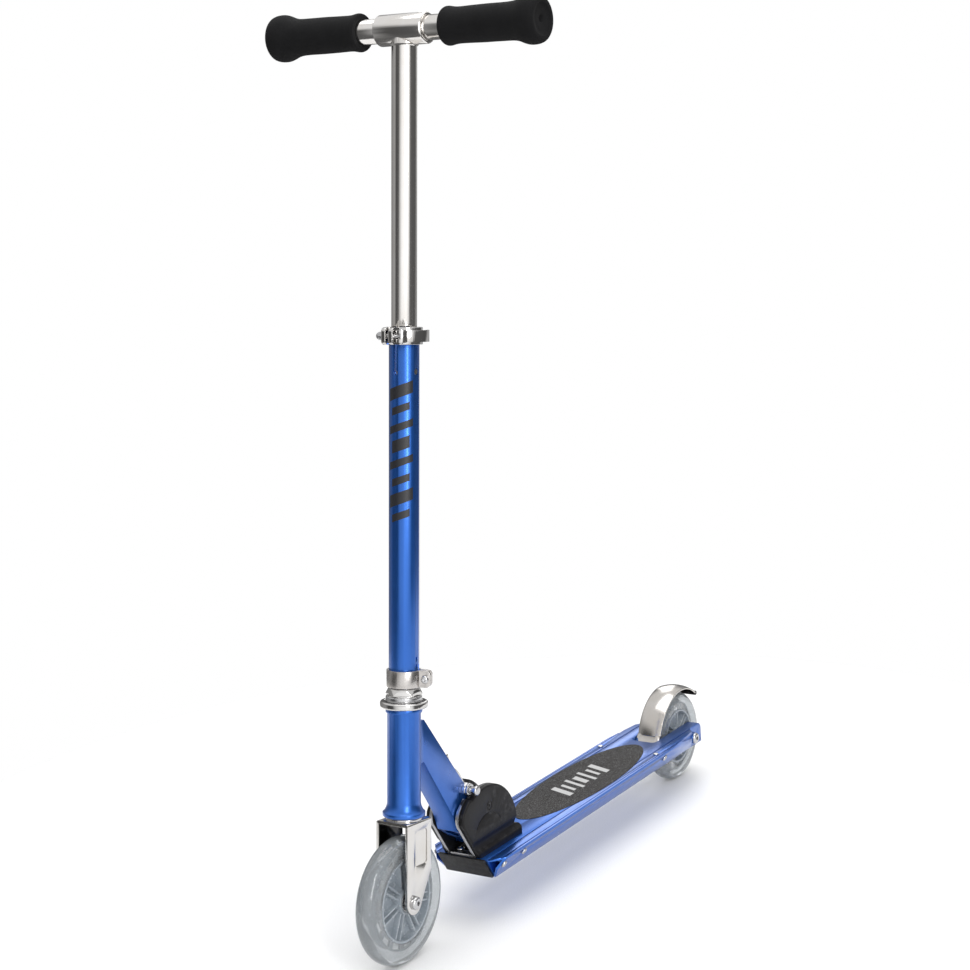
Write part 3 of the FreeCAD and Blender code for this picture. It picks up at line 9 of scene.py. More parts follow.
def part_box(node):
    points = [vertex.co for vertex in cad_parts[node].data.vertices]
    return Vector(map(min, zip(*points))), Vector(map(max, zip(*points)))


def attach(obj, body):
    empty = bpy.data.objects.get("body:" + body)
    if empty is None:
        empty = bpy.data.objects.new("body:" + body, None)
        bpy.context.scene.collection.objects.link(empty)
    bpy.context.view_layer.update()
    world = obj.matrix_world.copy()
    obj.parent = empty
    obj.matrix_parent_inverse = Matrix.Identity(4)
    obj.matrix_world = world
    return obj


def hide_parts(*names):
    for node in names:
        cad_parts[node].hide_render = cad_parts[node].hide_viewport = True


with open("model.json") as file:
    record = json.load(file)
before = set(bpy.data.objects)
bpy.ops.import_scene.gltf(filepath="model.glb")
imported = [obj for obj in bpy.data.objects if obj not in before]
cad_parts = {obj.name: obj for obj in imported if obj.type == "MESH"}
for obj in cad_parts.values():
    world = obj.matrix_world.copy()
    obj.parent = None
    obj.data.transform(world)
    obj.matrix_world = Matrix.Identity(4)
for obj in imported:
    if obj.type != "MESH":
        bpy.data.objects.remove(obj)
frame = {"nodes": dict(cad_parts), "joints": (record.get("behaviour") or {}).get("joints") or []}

NODES = frame["nodes"]
JOINTS = {j["name"]: j for j in frame["joints"]}
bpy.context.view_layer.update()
rng = np.random.default_rng(7)


# ------------------------------------------------------------------ node trees
class Tree:
    """A material's node tree, with short calls for the nodes used here."""

    def __init__(self, name):
        self.mat = bpy.data.materials.new(name)
        self.mat.use_nodes = True
        self.nt = self.mat.node_tree
        self.bsdf = self.nt.nodes["Principled BSDF"]
        self.coords = self.nt.nodes.new("ShaderNodeTexCoord").outputs["Object"]

    def set(self, **sockets):
        for key, value in sockets.items():
            self.bsdf.inputs[key.replace("_", " ")].default_value = value
        return self

    def link(self, a, b):
        self.nt.links.new(a, b)

    def value(self, socket, given):
        if isinstance(given, bpy.types.NodeSocket):
            self.link(given, socket)
        else:
            socket.default_value = given

    def scaled(self, x, y, z, spin=(0, 0, 0)):
        m = self.nt.nodes.new("ShaderNodeMapping")
        m.inputs["Scale"].default_value = (x, y, z)
        m.inputs["Rotation"].default_value = spin
        self.link(self.coords, m.inputs["Vector"])
        return m.outputs["Vector"]

    def noise(self, scale, detail=4.0, rough=0.55, vector=None, distortion=0.0):
        n = self.nt.nodes.new("ShaderNodeTexNoise")
        n.inputs["Scale"].default_value = scale
        n.inputs["Detail"].default_value = detail
        n.inputs["Roughness"].default_value = rough
        n.inputs["Distortion"].default_value = distortion
        self.link(vector or self.coords, n.inputs["Vector"])
        return n.outputs["Fac"]

    def cells(self, scale, feature="F1", vector=None, jitter=1.0, out="Distance"):
        v = self.nt.nodes.new("ShaderNodeTexVoronoi")
        v.feature = feature
        v.inputs["Scale"].default_value = scale
        v.inputs["Randomness"].default_value = jitter
        self.link(vector or self.coords, v.inputs["Vector"])
        return v.outputs[out]

    def ramp(self, fac, stops):
        r = self.nt.nodes.new("ShaderNodeValToRGB")
        while len(r.color_ramp.elements) < len(stops):
            r.color_ramp.elements.new(0.5)
        for element, (at, colour) in zip(r.color_ramp.elements, stops):
            element.position = at
            element.color = colour if len(colour) == 4 else (*colour, 1)
        self.link(fac, r.inputs["Fac"])
        return r.outputs["Color"]

    def span(self, fac, low, high, to_low, to_high):
        m = self.nt.nodes.new("ShaderNodeMapRange")
        m.inputs["From Min"].default_value = low
        m.inputs["From Max"].default_value = high
        m.inputs["To Min"].default_value = to_low
        m.inputs["To Max"].default_value = to_high
        self.link(fac, m.inputs["Value"])
        return m.outputs["Result"]

    def math(self, operation, a, b=0.5):
        m = self.nt.nodes.new("ShaderNodeMath")
        m.operation = operation
        self.value(m.inputs[0], a)
        self.value(m.inputs[1], b)
        return m.outputs[0]

    def mix(self, fac, a, b):
        m = self.nt.nodes.new("ShaderNodeMix")
        m.data_type = "RGBA"
        self.value(m.inputs[0], fac)
        self.value(m.inputs[6], a if isinstance(a, bpy.types.NodeSocket) else (*a, 1))
        self.value(m.inputs[7], b if isinstance(b, bpy.types.NodeSocket) else (*b, 1))
        return m.outputs[2]

    def edges(self, low=0.5, high=0.56):
        """Bright where the surface is convex, for worn edges."""
        g = self.nt.nodes.new("ShaderNodeNewGeometry")
        return self.span(g.outputs["Pointiness"], low, high, 0.0, 1.0)

    def bump(self, height, strength, distance):
        b = self.nt.nodes.new("ShaderNodeBump")
        b.inputs["Strength"].default_value = strength
        b.inputs["Distance"].default_value = distance
        self.link(height, b.inputs["Height"])
        self.link(b.outputs["Normal"], self.bsdf.inputs["Normal"])
        return self

    def colour(self, socket):
        self.link(socket, self.bsdf.inputs["Base Color"])
        return self

    def rough(self, socket):
        self.link(socket, self.bsdf.inputs["Roughness"])
        return self


# ------------------------------------------------------------------ materials
def blue_metallic():
    """Satin blue anodised finish: fine flake under a thin clear coat."""
    t = Tree("blue_metallic").set(Metallic=0.85, Coat_Weight=0.55, Coat_Roughness=0.24, Coat_IOR=1.55)
    flake = t.cells(5200, out="Color")
    tone = t.noise(9, 3)
    deep = t.mix(t.span(tone, 0.3, 0.7, 0, 1), (0.009, 0.094, 0.42), (0.013, 0.114, 0.48))
    sparkle = t.nt.nodes.new("ShaderNodeSeparateColor")
    t.link(flake, sparkle.inputs["Color"])
    bright = t.math("GREATER_THAN", sparkle.outputs["Red"], 0.86)
    t.colour(t.mix(t.math("MULTIPLY", bright, 0.35), deep, (0.05, 0.24, 0.7)))
    smudge = t.noise(38, 5, 0.65)
    t.rough(t.span(smudge, 0.3, 0.75, 0.27, 0.38))
    t.bump(t.noise(2600, 2), 0.05, 0.0002)
    return t.mat


def polished(name, colour, low, high, streak, bump=0.02, painted_shade_inside=False):
    """Polished metal with faint streaks across the chosen direction; the inner and downward faces may be
    painted near-black as painted shade.
    """
    t = Tree(name).set(Metallic=1.0)
    fine = t.noise(1.0, 6, 0.7, t.scaled(*streak))
    cloudy = t.noise(26, 4, 0.6)
    both = t.math("ADD", t.math("MULTIPLY", fine, 0.6), t.math("MULTIPLY", cloudy, 0.4))
    t.rough(t.span(both, 0.3, 0.7, low, high))
    warm = tuple(c * k for c, k in zip(colour, (0.93, 0.91, 0.88)))
    bright = t.mix(t.span(cloudy, 0.35, 0.7, 0, 1), colour, warm)
    if painted_shade_inside:
        # Painted shade: faces turned toward the middle, and faces pointing down, are coloured near-black
        # where shade and dark reflections fall.
        here, facing = t.nt.nodes.new("ShaderNodeSeparateXYZ"), t.nt.nodes.new("ShaderNodeSeparateXYZ")
        t.link(t.coords, here.inputs["Vector"])
        t.link(t.nt.nodes.new("ShaderNodeTexCoord").outputs["Normal"], facing.inputs["Vector"])
        outward = t.math("MULTIPLY", t.math("SIGN", here.outputs["Y"]), facing.outputs["Y"])
        inward = t.math("LESS_THAN", outward, -0.6)
        shaded_inside = t.math("MAXIMUM", inward, t.math("LESS_THAN", facing.outputs["Z"], -0.8))
        bright = t.mix(shaded_inside, bright, (0.035, 0.034, 0.034))
    t.colour(bright)
    t.bump(fine, bump, 0.0002)
    return t.mat


def zinc():
    t = Tree("zinc_plate").set(Metallic=1.0)
    cloudy = t.noise(120, 5, 0.6)
    t.colour(t.mix(t.span(cloudy, 0.3, 0.7, 0, 1), (0.46, 0.46, 0.465), (0.58, 0.58, 0.59)))
    t.rough(t.span(t.noise(420, 4), 0.3, 0.7, 0.16, 0.32))
    t.bump(t.noise(900, 4), 0.05, 0.0002)
    return t.mat


def black_plastic():
    """Moulded black plastic with a fine spark-eroded grain."""
    t = Tree("black_plastic").set(Specular_IOR_Level=0.22)
    grain = t.noise(1500, 6, 0.7)
    wear = t.math("MULTIPLY", t.edges(0.52, 0.6), t.span(t.noise(160, 5), 0.45, 0.65, 0, 1))
    t.colour(t.mix(wear, (0.006, 0.0055, 0.006), (0.03, 0.03, 0.032)))
    t.rough(t.span(grain, 0.3, 0.7, 0.4, 0.55))
    t.bump(grain, 0.16, 0.0003)
    return t.mat


def black_coat():
    """Powder coat on steel, with an orange-peel skin and bare metal at the cut edges."""
    t = Tree("black_powder_coat")
    peel = t.noise(520, 3, 0.5)
    worn = t.math("MULTIPLY", t.edges(0.53, 0.58), t.span(t.noise(90, 5), 0.5, 0.62, 0, 1))
    facing = t.nt.nodes.new("ShaderNodeSeparateXYZ")
    t.link(t.nt.nodes.new("ShaderNodeTexCoord").outputs["Normal"], facing.inputs["Vector"])
    cut = t.math("GREATER_THAN", facing.outputs["X"], 0.62)
    bare = t.math("MAXIMUM", worn, cut)
    t.colour(t.mix(bare, (0.007, 0.007, 0.008), (0.42, 0.42, 0.43)))
    t.link(t.math("MULTIPLY", cut, 0.9), t.bsdf.inputs["Metallic"])
    t.set(Specular_IOR_Level=0.3)
    t.rough(t.span(peel, 0.3, 0.7, 0.28, 0.42))
    t.bump(peel, 0.12, 0.0004)
    return t.mat


def foam():
    """Closed-cell foam: tiny open pores, no gloss."""
    t = Tree("black_foam").set(Specular_IOR_Level=0.12, Sheen_Weight=0.02, Sheen_Roughness=0.5)
    pores = t.cells(1250)
    fine = t.noise(3200, 3, 0.6)
    broad = t.noise(55, 4)
    skin = t.math("ADD", t.math("MULTIPLY", pores, 0.75), t.math("MULTIPLY", fine, 0.25))
    dark = t.mix(t.span(broad, 0.3, 0.7, 0, 1), (0.004, 0.004, 0.0042), (0.007, 0.007, 0.0074))
    t.colour(t.mix(t.span(skin, 0.15, 0.7, 0, 0.5), dark, (0.012, 0.012, 0.013)))
    t.rough(t.span(fine, 0.3, 0.7, 0.78, 0.95))
    t.bump(skin, 0.5, 0.0006)
    return t.mat


def grit():
    """Silicon-carbide grit on tape: dark grains, a few of them catching the light."""
    t = Tree("black_grit").set(Specular_IOR_Level=0.25)
    grains = t.cells(1500)
    tone = t.cells(1500, out="Color")
    split = t.nt.nodes.new("ShaderNodeSeparateColor")
    t.link(tone, split.inputs["Color"])
    glint = t.math("GREATER_THAN", split.outputs["Green"], 0.9)
    body = t.mix(split.outputs["Red"], (0.006, 0.0055, 0.0055), (0.038, 0.036, 0.036))
    patch = t.span(t.noise(420, 3, 0.6), 0.35, 0.65, 0.0, 1.0)
    body = t.mix(t.math("MULTIPLY", patch, 0.75), body, (0.055, 0.052, 0.05))
    t.colour(t.mix(glint, body, (0.16, 0.16, 0.165)))
    t.rough(t.span(split.outputs["Blue"], 0, 1, 0.45, 0.95))
    t.bump(grains, 0.8, 0.0006)
    return t.mat


def printed(name, colour, rough):
    """Ink or paint laid thinly on something else."""
    t = Tree(name)
    speck = t.noise(700, 5, 0.7)
    t.colour(t.mix(t.span(speck, 0.35, 0.75, 0, 1), colour, tuple(c * 0.82 for c in colour)))
    t.rough(t.span(speck, 0.3, 0.7, rough, rough + 0.15))
    t.bump(speck, 0.1, 0.0002)
    return t.mat


def urethane():
    """Clear-grey cast urethane, faintly cloudy and scuffed on the tread."""
    t = Tree("clear_urethane").set(IOR=1.48, Transmission_Weight=0.74, Specular_IOR_Level=0.45)
    cloud = t.noise(42, 4, 0.6)
    t.colour(t.mix(t.span(cloud, 0.3, 0.7, 0, 1), (0.5, 0.53, 0.55), (0.6, 0.63, 0.65)))
    t.rough(t.span(t.noise(260, 5, 0.65), 0.35, 0.8, 0.07, 0.2))
    t.bump(t.noise(380, 3), 0.05, 0.0004)
    return t.mat


def core_plastic():
    """Grey-clear moulded plastic of the wheel cores."""
    t = Tree("grey_core_plastic").set(IOR=1.5, Transmission_Weight=0.22, Coat_Weight=0.25, Coat_Roughness=0.1)
    cloud = t.noise(75, 4, 0.6)
    t.colour(t.mix(t.span(cloud, 0.3, 0.7, 0, 1), (0.27, 0.31, 0.35), (0.37, 0.41, 0.45)))
    t.rough(t.span(t.noise(300, 4), 0.3, 0.7, 0.16, 0.3))
    t.bump(t.noise(500, 3), 0.04, 0.0003)
    return t.mat


BLUE = blue_metallic()
POST_STEEL = polished("polished_tube_steel", (0.78, 0.765, 0.75), 0.1, 0.2, (900, 900, 12), 0.03)
# The fork's inner faces and underside carry painted shade (near-black colour).
FORK_STEEL = polished("polished_fork_steel", (0.66, 0.65, 0.64), 0.1, 0.2, (220, 60, 220), painted_shade_inside=True)
FENDER_STEEL = polished("polished_fender_steel", (0.58, 0.56, 0.54), 0.12, 0.24, (260, 40, 260), 0.04)
BAND_STEEL = polished("brushed_band_steel", (0.5, 0.48, 0.465), 0.22, 0.36, (30, 30, 1400), 0.08)
BAR_STEEL = polished("polished_bar_steel", (0.78, 0.765, 0.75), 0.1, 0.2, (900, 12, 900), 0.03)
CHROME = polished("chrome_plate", (0.6, 0.595, 0.59), 0.05, 0.11, (60, 60, 60), 0.01)
ZINC = zinc()
PLASTIC = black_plastic()
COAT = black_coat()
FOAM = foam()
GRIT = grit()
URETHANE = urethane()
CORE = core_plastic()
BLACK_INK = printed("black_print", (0.012, 0.012, 0.015), 0.38)
GREY_INK = printed("pale_print", (0.5, 0.5, 0.5), 0.7)
FLOOR_PAINT = printed("pale_floor", (0.95, 0.95, 0.95), 0.6)

LOOK = {
    "deck": BLUE, "neck": BLUE, "lower_column": BLUE,
    "deck_end_cap": PLASTIC, "fold_cover_left": PLASTIC, "fold_cover_right": PLASTIC, "brake_tip": PLASTIC,
    "fold_bracket": COAT, "height_lock_clip": ZINC,
    "grip_tape": GRIT, "left_grip": FOAM, "right_grip": FOAM,
    "front_tyre": URETHANE, "rear_tyre": URETHANE, "front_wheel_core": CORE, "rear_wheel_core": CORE,
    "upper_column": POST_STEEL, "bar_sleeve": BAR_STEEL,
    "left_handle_tube": BAR_STEEL, "right_handle_tube": BAR_STEEL,
    "fork": FORK_STEEL, "brake_fender": FENDER_STEEL,
    "height_clamp": CHROME, "height_lever": CHROME, "column_clamp_band": BAND_STEEL, "fold_lever": CHROME,
    "headset_upper_cup": CHROME, "headset_locknut": CHROME, "headset_washer": CHROME,
}
BEVEL_MM = {"deck": 0.5, "neck": 0.8, "fork": 0.7, "fold_bracket": 0.4, "deck_end_cap": 0.8,
            "brake_fender": 0.5, "headset_upper_cup": 0.6, "front_wheel_core": 0.35, "rear_wheel_core": 0.35,
            "bar_sleeve": 0.4}
PLAIN_BEVEL_MM = 0.3
BEVEL_ANGLE = math.radians(32)


# ------------------------------------------------------------------ mesh tools
def piece(name, verts, faces, material, body, smooth=True):
    """A new mesh object that rides on a CAD body."""
    mesh = bpy.data.meshes.new(name)
    mesh.from_pydata([tuple(v) for v in verts], [], [tuple(f) for f in faces])
    mesh.validate()
    mesh.update()
    mesh.materials.append(material)
    if smooth:
        mesh.shade_smooth()
    obj = bpy.data.objects.new(name, mesh)
    bpy.context.scene.collection.objects.link(obj)
    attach(obj, body)
    return obj


def lathe(profile, centre, axis, start, segments, dent=None):
    """Vertices and faces of a closed profile of (radius, along) turned about axis through centre."""
    axis = Vector(axis).normalized()
    u = Vector(start).normalized()
    v = axis.cross(u)
    verts, faces, rings = [], [], len(profile)
    for i in range(segments):
        turn = 2 * math.pi * i / segments
        out = u * math.cos(turn) + v * math.sin(turn)
        for k, (radius, along) in enumerate(profile):
            r = radius + (dent(turn, along, radius) if dent and radius > 1e-6 else 0.0)
            verts.append(centre + out * r + axis * along)
    for i in range(segments):
        j = (i + 1) % segments
        for k in range(rings):
            m = (k + 1) % rings
            faces.append((i * rings + k, j * rings + k, j * rings + m, i * rings + m))
    return verts, faces


def smooth_profile(points, steps):
    """A Catmull-Rom curve through the points, as a list of (radius, along)."""
    out = []
    p = [points[0], *points, points[-1]]
    for a, b, c, d in zip(p, p[1:], p[2:], p[3:]):
        for s in range(steps):
            t = s / steps
            out.append(tuple(0.5 * (2 * b[i] + (c[i] - a[i]) * t
                                    + (2 * a[i] - 5 * b[i] + 4 * c[i] - d[i]) * t * t
                                    + (3 * b[i] - a[i] - 3 * c[i] + d[i]) * t ** 3) for i in (0, 1)))
    out.append(points[-1])
    return out


# ------------------------------------------------------------------ CAD nodes
def dress(name, obj):
    """Gives a CAD node its material, and softens its edges with modifiers."""
    obj.data.materials.clear()
    obj.data.materials.append(LOOK.get(name, ZINC))
    for polygon in obj.data.polygons:
        polygon.use_smooth = True
        polygon.material_index = 0
    weld = obj.modifiers.new("weld", "WELD")
    weld.merge_threshold = 2e-6
    bevel = obj.modifiers.new("bevel", "BEVEL")
    bevel.width = BEVEL_MM.get(name, PLAIN_BEVEL_MM) / 1000
    bevel.segments = 2
    bevel.limit_method = "ANGLE"
    bevel.angle_limit = BEVEL_ANGLE
    bevel.use_clamp_overlap = True
    bevel.harden_normals = True


for node_name, node in NODES.items():
    dress(node_name, node)


# ------------------------------------------------------------------ grips
GRIP_DRAWN_R = 0.027            # the outline below is drawn for this radius and length
GRIP_DRAWN_LENGTH = 0.122


def make_grip(node, body, outward):
    """Foam grip with a bell at each end, soft rounding and a recessed outer end."""
    lo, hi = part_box(node)
    centre = (lo + hi) / 2
    length, big = hi.y - lo.y, (hi.x - lo.x) / 2
    k = big / GRIP_DRAWN_R
    start = centre - Vector((0, outward, 0)) * (length / 2)
    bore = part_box(body + "_tube")
    bore_r = (bore[1].x - bore[0].x) / 2 + 0.0002
    mm = 0.001
    skin = [(18.4, 0.6), (20.4, 0.5), (21.5, 2.6), (21.6, 5.2), (20.9, 9.0), (20.2, 14.0),
            (20.05, 22.0), (20.35, 36.0), (20.6, 52.0), (20.6, 68.0), (20.7, 80.0), (21.2, 88.0),
            (22.7, 95.0), (25.0, 101.0), (26.6, 106.5), (26.85, 111.5), (26.3, 116.0), (24.9, 119.6),
            (22.3, 121.5), (19.2, 121.8)]
    skin = [(r * k * mm, y * mm * length / GRIP_DRAWN_LENGTH) for r, y in skin]
    end = length
    face = [(17.6 * mm, end - 0.4 * mm), (16.9 * mm, end - 1.9 * mm), (12.0 * mm, end - 2.1 * mm),
            (5.2 * mm, end - 2.2 * mm), (4.2 * mm, end - 2.7 * mm), (3.8 * mm, end - 6.0 * mm),
            (0.0, end - 6.1 * mm)]
    outer = smooth_profile(skin, 5) + face
    inner = [(0.0, end - 6.8 * mm), (bore_r, end - 6.9 * mm), (bore_r, 1.0 * mm),
             (bore_r + 0.6 * mm, 0.3 * mm)]
    phases = rng.uniform(0, 6.28, 6)

    def dent(turn, along, radius):
        if radius <= bore_r + 0.001:
            return 0.0
        wave = math.sin(2 * turn + phases[0] + along * 45) + 0.6 * math.sin(3 * turn + phases[1] - along * 80)
        wave += 0.5 * math.sin(along * 230 + phases[2] + turn)
        wave += 0.3 * math.sin(7 * turn + phases[3] + along * 140)
        return -0.00012 * (1 + 0.5 * wave)

    verts, faces = lathe(outer + inner, start, (0, outward, 0), (1, 0, 0), 96, dent)
    grip = piece(body + "_foam", verts, faces, FOAM, body)
    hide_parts(node)
    return grip


make_grip("left_grip", "left_handle", 1)
make_grip("right_grip", "right_handle", -1)


# ------------------------------------------------------------------ tyres
LARGE_WHEEL_R = 0.066           # a tyre above this radius is the front one
LARGE_TYRE_DEPTH, SMALL_TYRE_DEPTH = 0.0259, 0.0234


def make_tyre(node, body):
    """Cast tyre: a round tread with a mould line, flat sides and a bead against the core's ring."""
    lo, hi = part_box(node)
    centre = (lo + hi) / 2
    radius, half = (hi.z - lo.z) / 2, (hi.y - lo.y) / 2
    bead = radius - (LARGE_TYRE_DEPTH if radius > LARGE_WHEEL_R else SMALL_TYRE_DEPTH)
    mm = 0.001
    right = []
    for i in range(25):
        a = math.radians(90 * i / 24)
        right.append((radius - 13 * mm + 13 * mm * math.cos(a) ** 0.92, half * math.sin(a) ** 0.96))
    right[0] = (radius, 0.0)
    right[1] = (radius - 0.02 * mm, 0.25 * mm)
    wall = [(radius - 16 * mm, half - 0.15 * mm), (radius - 20 * mm, half - 0.9 * mm),
            (bead + 2.6 * mm, half - 1.7 * mm), (bead + 0.7 * mm, half - 2.1 * mm),
            (bead - 0.25 * mm, half - 2.7 * mm)]
    side = right + wall
    profile = side + [(r, -y) for r, y in reversed(side[1:])]
    verts, faces = lathe(profile, centre, (0, 1, 0), (1, 0, 0), 192)
    tyre = piece(body + "_tyre", verts, faces, URETHANE, body)
    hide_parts(node)
    return tyre


make_tyre("front_tyre", "front_wheel")
make_tyre("rear_tyre", "rear_wheel")


# ------------------------------------------------------------------ grip tape
def make_tape():
    """The oval of grit tape, with real grain in its surface."""
    lo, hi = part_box("grip_tape")
    centre = (lo + hi) / 2
    a, b = (hi.x - lo.x) / 2, (hi.y - lo.y) / 2
    rings, spokes = 58, 300
    verts, faces = [(centre.x, centre.y, hi.z - 0.0002)], []
    for i in range(1, rings + 1):
        share = i / rings
        for j in range(spokes):
            turn = 2 * math.pi * j / spokes
            lift = 0.0 if i == rings else rng.uniform(-0.00024, 0.0)
            edge = 0.0 if i < rings else rng.uniform(-0.0003, 0.0)
            verts.append((centre.x + (a * share + edge) * math.cos(turn),
                          centre.y + (b * share + edge) * math.sin(turn),
                          hi.z - 0.0001 + lift - (0.0003 if i == rings else 0)))
    for j in range(spokes):
        verts.append((centre.x + a * 0.999 * math.cos(2 * math.pi * j / spokes),
                      centre.y + b * 0.999 * math.sin(2 * math.pi * j / spokes), lo.z + 0.00005))
    for j in range(spokes):
        faces.append((0, 1 + j, 1 + (j + 1) % spokes))
    for i in range(rings):
        for j in range(spokes):
            k = (j + 1) % spokes
            near, far = 1 + i * spokes, 1 + (i + 1) * spokes
            faces.append((near + j, far + j, far + k, near + k))
    faces.append(tuple(1 + rings * spokes + j for j in reversed(range(spokes))))
    tape = piece("grip_tape_grit", verts, faces, GRIT, "deck", smooth=False)
    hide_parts("grip_tape")


make_tape()


# ------------------------------------------------------------------ plain printed marks
def slanted_bars(count, pitch, width, height, lean):
    """Slanted bars along +s, each given as (middle s, width, height, lean); a plain pattern."""
    bars = []
    for i in range(count):
        s0 = (i - (count - 1) / 2) * pitch
        tall = height * (1.0 if i % 2 == 0 else 0.72)
        bars.append((s0, width if i % 3 else width * 1.6, tall, lean))
    return bars


def make_tape_mark():
    """Pale slanted bars printed across the middle of the tape."""
    lo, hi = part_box("grip_tape")
    centre = (lo + hi) / 2
    verts, faces = [], []
    z = hi.z + 0.00006
    for s0, width, tall, lean in slanted_bars(7, 0.0155, 0.0062, 0.034, 0.3):
        rows, cols = 14, 5
        base = len(verts)
        for r in range(rows + 1):
            for c in range(cols + 1):
                t = (r / rows - 0.5) * tall
                s = s0 + (c / cols - 0.5) * width + lean * t
                verts.append((centre.x + s, centre.y + t, z + rng.uniform(-0.00002, 0.00002)))
        for r in range(rows):
            for c in range(cols):
                a = base + r * (cols + 1) + c
                faces.append((a, a + 1, a + cols + 2, a + cols + 1))
    mark = piece("grip_tape_bars", verts, faces, GREY_INK, "deck", smooth=False)


COLUMN_MARK_ALONG = 0.411       # middle of the bars, along the column from its foot
COLUMN_MARK_TURN = math.radians(20)


def make_column_mark():
    """Black slanted bars printed down the front of the painted column."""
    joint = JOINTS["steering_turn"]
    axis = Vector(joint["axis"])
    foot = Vector(joint["pos_m"])
    lo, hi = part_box("lower_column")
    radius = (hi.y - lo.y) / 2 + 0.00004
    fore = Vector((0, 1, 0)).cross(axis)
    verts, faces = [], []
    for s0, width, tall, lean in slanted_bars(8, 0.0197, 0.0085, 0.030, 0.35):
        rows, cols = 20, 4
        base = len(verts)
        for r in range(rows + 1):
            for c in range(cols + 1):
                t = (r / rows - 0.5) * tall
                s = COLUMN_MARK_ALONG - s0 + (c / cols - 0.5) * width + lean * t
                turn = t / radius + COLUMN_MARK_TURN
                out = fore * math.cos(turn) + Vector((0, 1, 0)) * math.sin(turn)
                verts.append(foot + axis * s + out * radius)
        for r in range(rows):
            for c in range(cols):
                a = base + r * (cols + 1) + c
                faces.append((a, a + 1, a + cols + 2, a + cols + 1))
    mark = piece("column_bars", verts, faces, BLACK_INK, "steering")


make_tape_mark()
make_column_mark()


# ------------------------------------------------------------------ floor, light, camera
FLOOR_RADIUS = 0.9


def make_floor():
    """A plain pale disc, finely divided so that it shades evenly."""
    rings, spokes = 24, 96
    verts, faces = [(0.0, 0.0, 0.0)], []
    for i in range(1, rings + 1):
        for j in range(spokes):
            turn = 2 * math.pi * j / spokes
            reach = FLOOR_RADIUS * i / rings
            verts.append((reach * math.cos(turn), reach * math.sin(turn), 0.0))
    for j in range(spokes):
        faces.append((0, 1 + j, 1 + (j + 1) % spokes))
    for i in range(rings - 1):
        for j in range(spokes):
            a, b = 1 + i * spokes, 1 + (i + 1) * spokes
            k = (j + 1) % spokes
            faces.append((a + j, b + j, b + k, a + k))
    mesh = bpy.data.meshes.new("floor")
    mesh.from_pydata(verts, [], faces)
    mesh.materials.append(FLOOR_PAINT)
    floor = bpy.data.objects.new("floor", mesh)
    bpy.context.scene.collection.objects.link(floor)


def make_light(name, place, aim, size, power):
    data = bpy.data.lights.new(name, "AREA")
    data.shape = "RECTANGLE"
    data.size, data.size_y = size
    data.energy = power
    obj = bpy.data.objects.new(name, data)
    bpy.context.scene.collection.objects.link(obj)
    obj.location = place
    obj.rotation_euler = (Vector(aim) - Vector(place)).to_track_quat("-Z", "Y").to_euler()
    return obj


# Grey of the surroundings against compass angle, from -180 to 180 degrees, as reflections see them.
ROUND = [(-180, 0.55), (-150, 0.12), (-110, 0.28), (-62, 0.4), (-44, 0.08), (-20, 0.1), (-6, 0.8), (12, 1.2),
         (53, 1.6), (74, 1.1), (86, 0.14), (152, 0.1), (166, 0.5), (180, 0.55)]
OVERHEAD, UNDERFOOT = 0.9, 0.12
CEILING = (0.22, 0.6)           # heights of a ray's direction between which the panels fade to the ceiling
CELLAR = (-0.3, -0.7)
BACKDROP = 1.0


def grey_ramp(nt, fac, stops):
    ramp = nt.nodes.new("ShaderNodeValToRGB")
    while len(ramp.color_ramp.elements) < len(stops):
        ramp.color_ramp.elements.new(0.5)
    for element, (at, grey) in zip(ramp.color_ramp.elements, stops):
        element.position = at
        element.color = (grey, grey, grey, 1)
    nt.links.new(fac, ramp.inputs["Fac"])
    return ramp.outputs["Color"]


def span_node(nt, value, low, high):
    node = nt.nodes.new("ShaderNodeMapRange")
    node.interpolation_type = "SMOOTHSTEP"
    node.inputs["From Min"].default_value = low
    node.inputs["From Max"].default_value = high
    nt.links.new(value, node.inputs["Value"])
    return node.outputs["Result"]


def blend_node(nt, fac, a, grey):
    node = nt.nodes.new("ShaderNodeMix")
    node.data_type = "RGBA"
    nt.links.new(fac, node.inputs[0])
    nt.links.new(a, node.inputs[6])
    node.inputs[7].default_value = (grey, grey, grey, 1)
    return node.outputs[2]


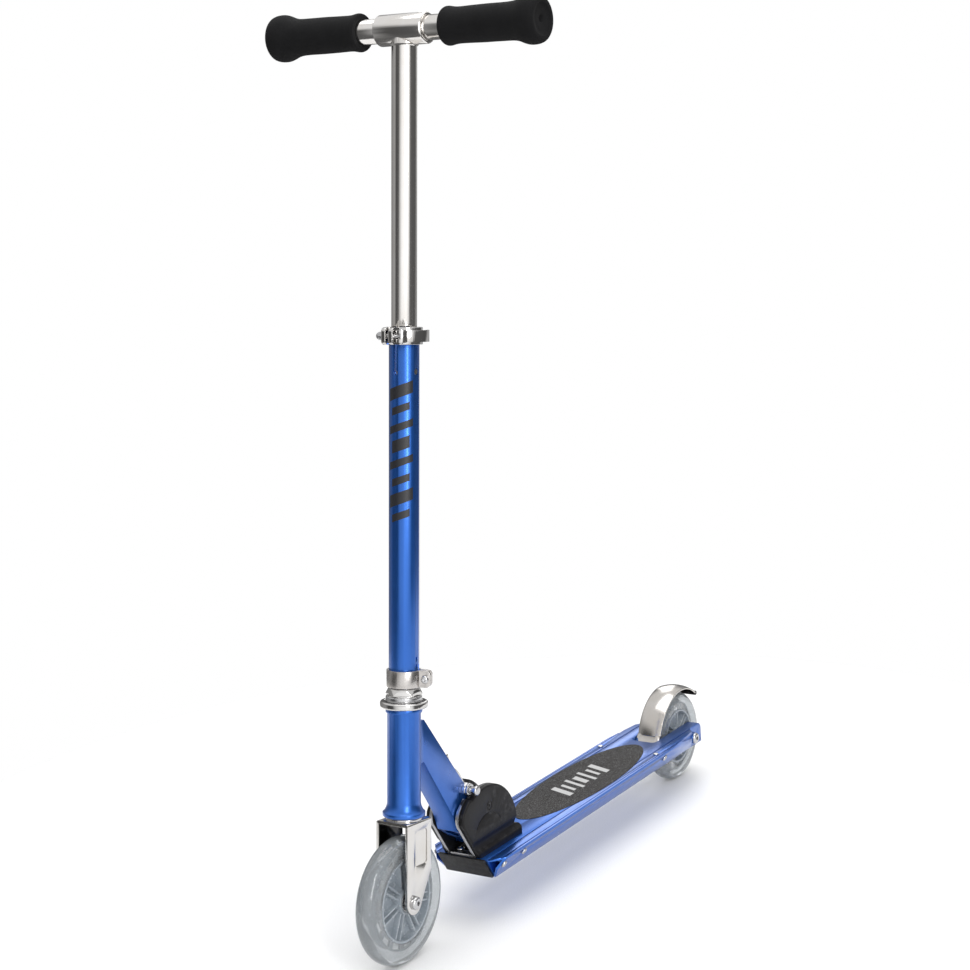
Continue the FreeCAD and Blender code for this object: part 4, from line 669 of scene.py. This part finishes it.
def make_world():
    """A studio: white behind the object; in reflections, soft panels round it and a bright ceiling."""
    world = bpy.data.worlds.new("studio")
    bpy.context.scene.world = world
    world.use_nodes = True
    nt = world.node_tree
    back = nt.nodes["Background"]
    back.inputs["Color"].default_value = (BACKDROP, BACKDROP, BACKDROP, 1)
    coords = nt.nodes.new("ShaderNodeTexCoord")
    split = nt.nodes.new("ShaderNodeSeparateXYZ")
    nt.links.new(coords.outputs["Generated"], split.inputs["Vector"])
    compass = nt.nodes.new("ShaderNodeMath")
    compass.operation = "ARCTAN2"
    nt.links.new(split.outputs["Y"], compass.inputs[0])
    nt.links.new(split.outputs["X"], compass.inputs[1])
    share = nt.nodes.new("ShaderNodeMapRange")
    share.inputs["From Min"].default_value = -math.pi
    share.inputs["From Max"].default_value = math.pi
    nt.links.new(compass.outputs[0], share.inputs["Value"])
    panels = grey_ramp(nt, share.outputs["Result"], [((at + 180) / 360, grey) for at, grey in ROUND])
    above = blend_node(nt, span_node(nt, split.outputs["Z"], *CEILING), panels, OVERHEAD)
    below = blend_node(nt, span_node(nt, split.outputs["Z"], *CELLAR), above, UNDERFOOT)
    studio = nt.nodes.new("ShaderNodeBackground")
    nt.links.new(below, studio.inputs["Color"])
    path = nt.nodes.new("ShaderNodeLightPath")
    mix = nt.nodes.new("ShaderNodeMixShader")
    nt.links.new(path.outputs["Is Camera Ray"], mix.inputs["Fac"])
    nt.links.new(studio.outputs["Background"], mix.inputs[1])
    nt.links.new(back.outputs["Background"], mix.inputs[2])
    nt.links.new(mix.outputs["Shader"], nt.nodes["World Output"].inputs["Surface"])


def make_camera():
    """The photograph's viewpoint: in front, to the rider's left, a little above the deck."""
    data = bpy.data.cameras.new("camera")
    data.sensor_width = 36.0
    data.lens = 76.94
    data.shift_y = -0.1
    data.clip_end = 100
    camera = bpy.data.objects.new("camera", data)
    bpy.context.scene.collection.objects.link(camera)
    heading, pitch, roll = math.radians(213.279), math.radians(-8.702), math.radians(-3.699)
    ahead = Vector((math.cos(pitch) * math.cos(heading), math.cos(pitch) * math.sin(heading),
                    math.sin(pitch)))
    right = ahead.cross(Vector((0, 0, 1))).normalized()
    up = right.cross(ahead)
    right, up = (right * math.cos(roll) + up * math.sin(roll), up * math.cos(roll) - right * math.sin(roll))
    turn = Matrix((right, up, -ahead)).transposed().to_4x4()
    camera.matrix_world = Matrix.Translation((2.0922, 1.3213, 0.9814)) @ turn
    bpy.context.scene.camera = camera


make_floor()
make_world()
make_light("key", (1.6, 2.15, 1.4), (0, 0, 0.6), (0.6, 2.0), 34)
make_light("top", (-0.4, 0.1, 3.0), (0, 0, 0), (2.4, 2.4), 40)
make_light("rim", (-2.6, -1.4, 1.6), (0, 0, 0.5), (0.8, 2.0), 10)
make_camera()
bpy.context.scene.view_settings.view_transform = "Standard"
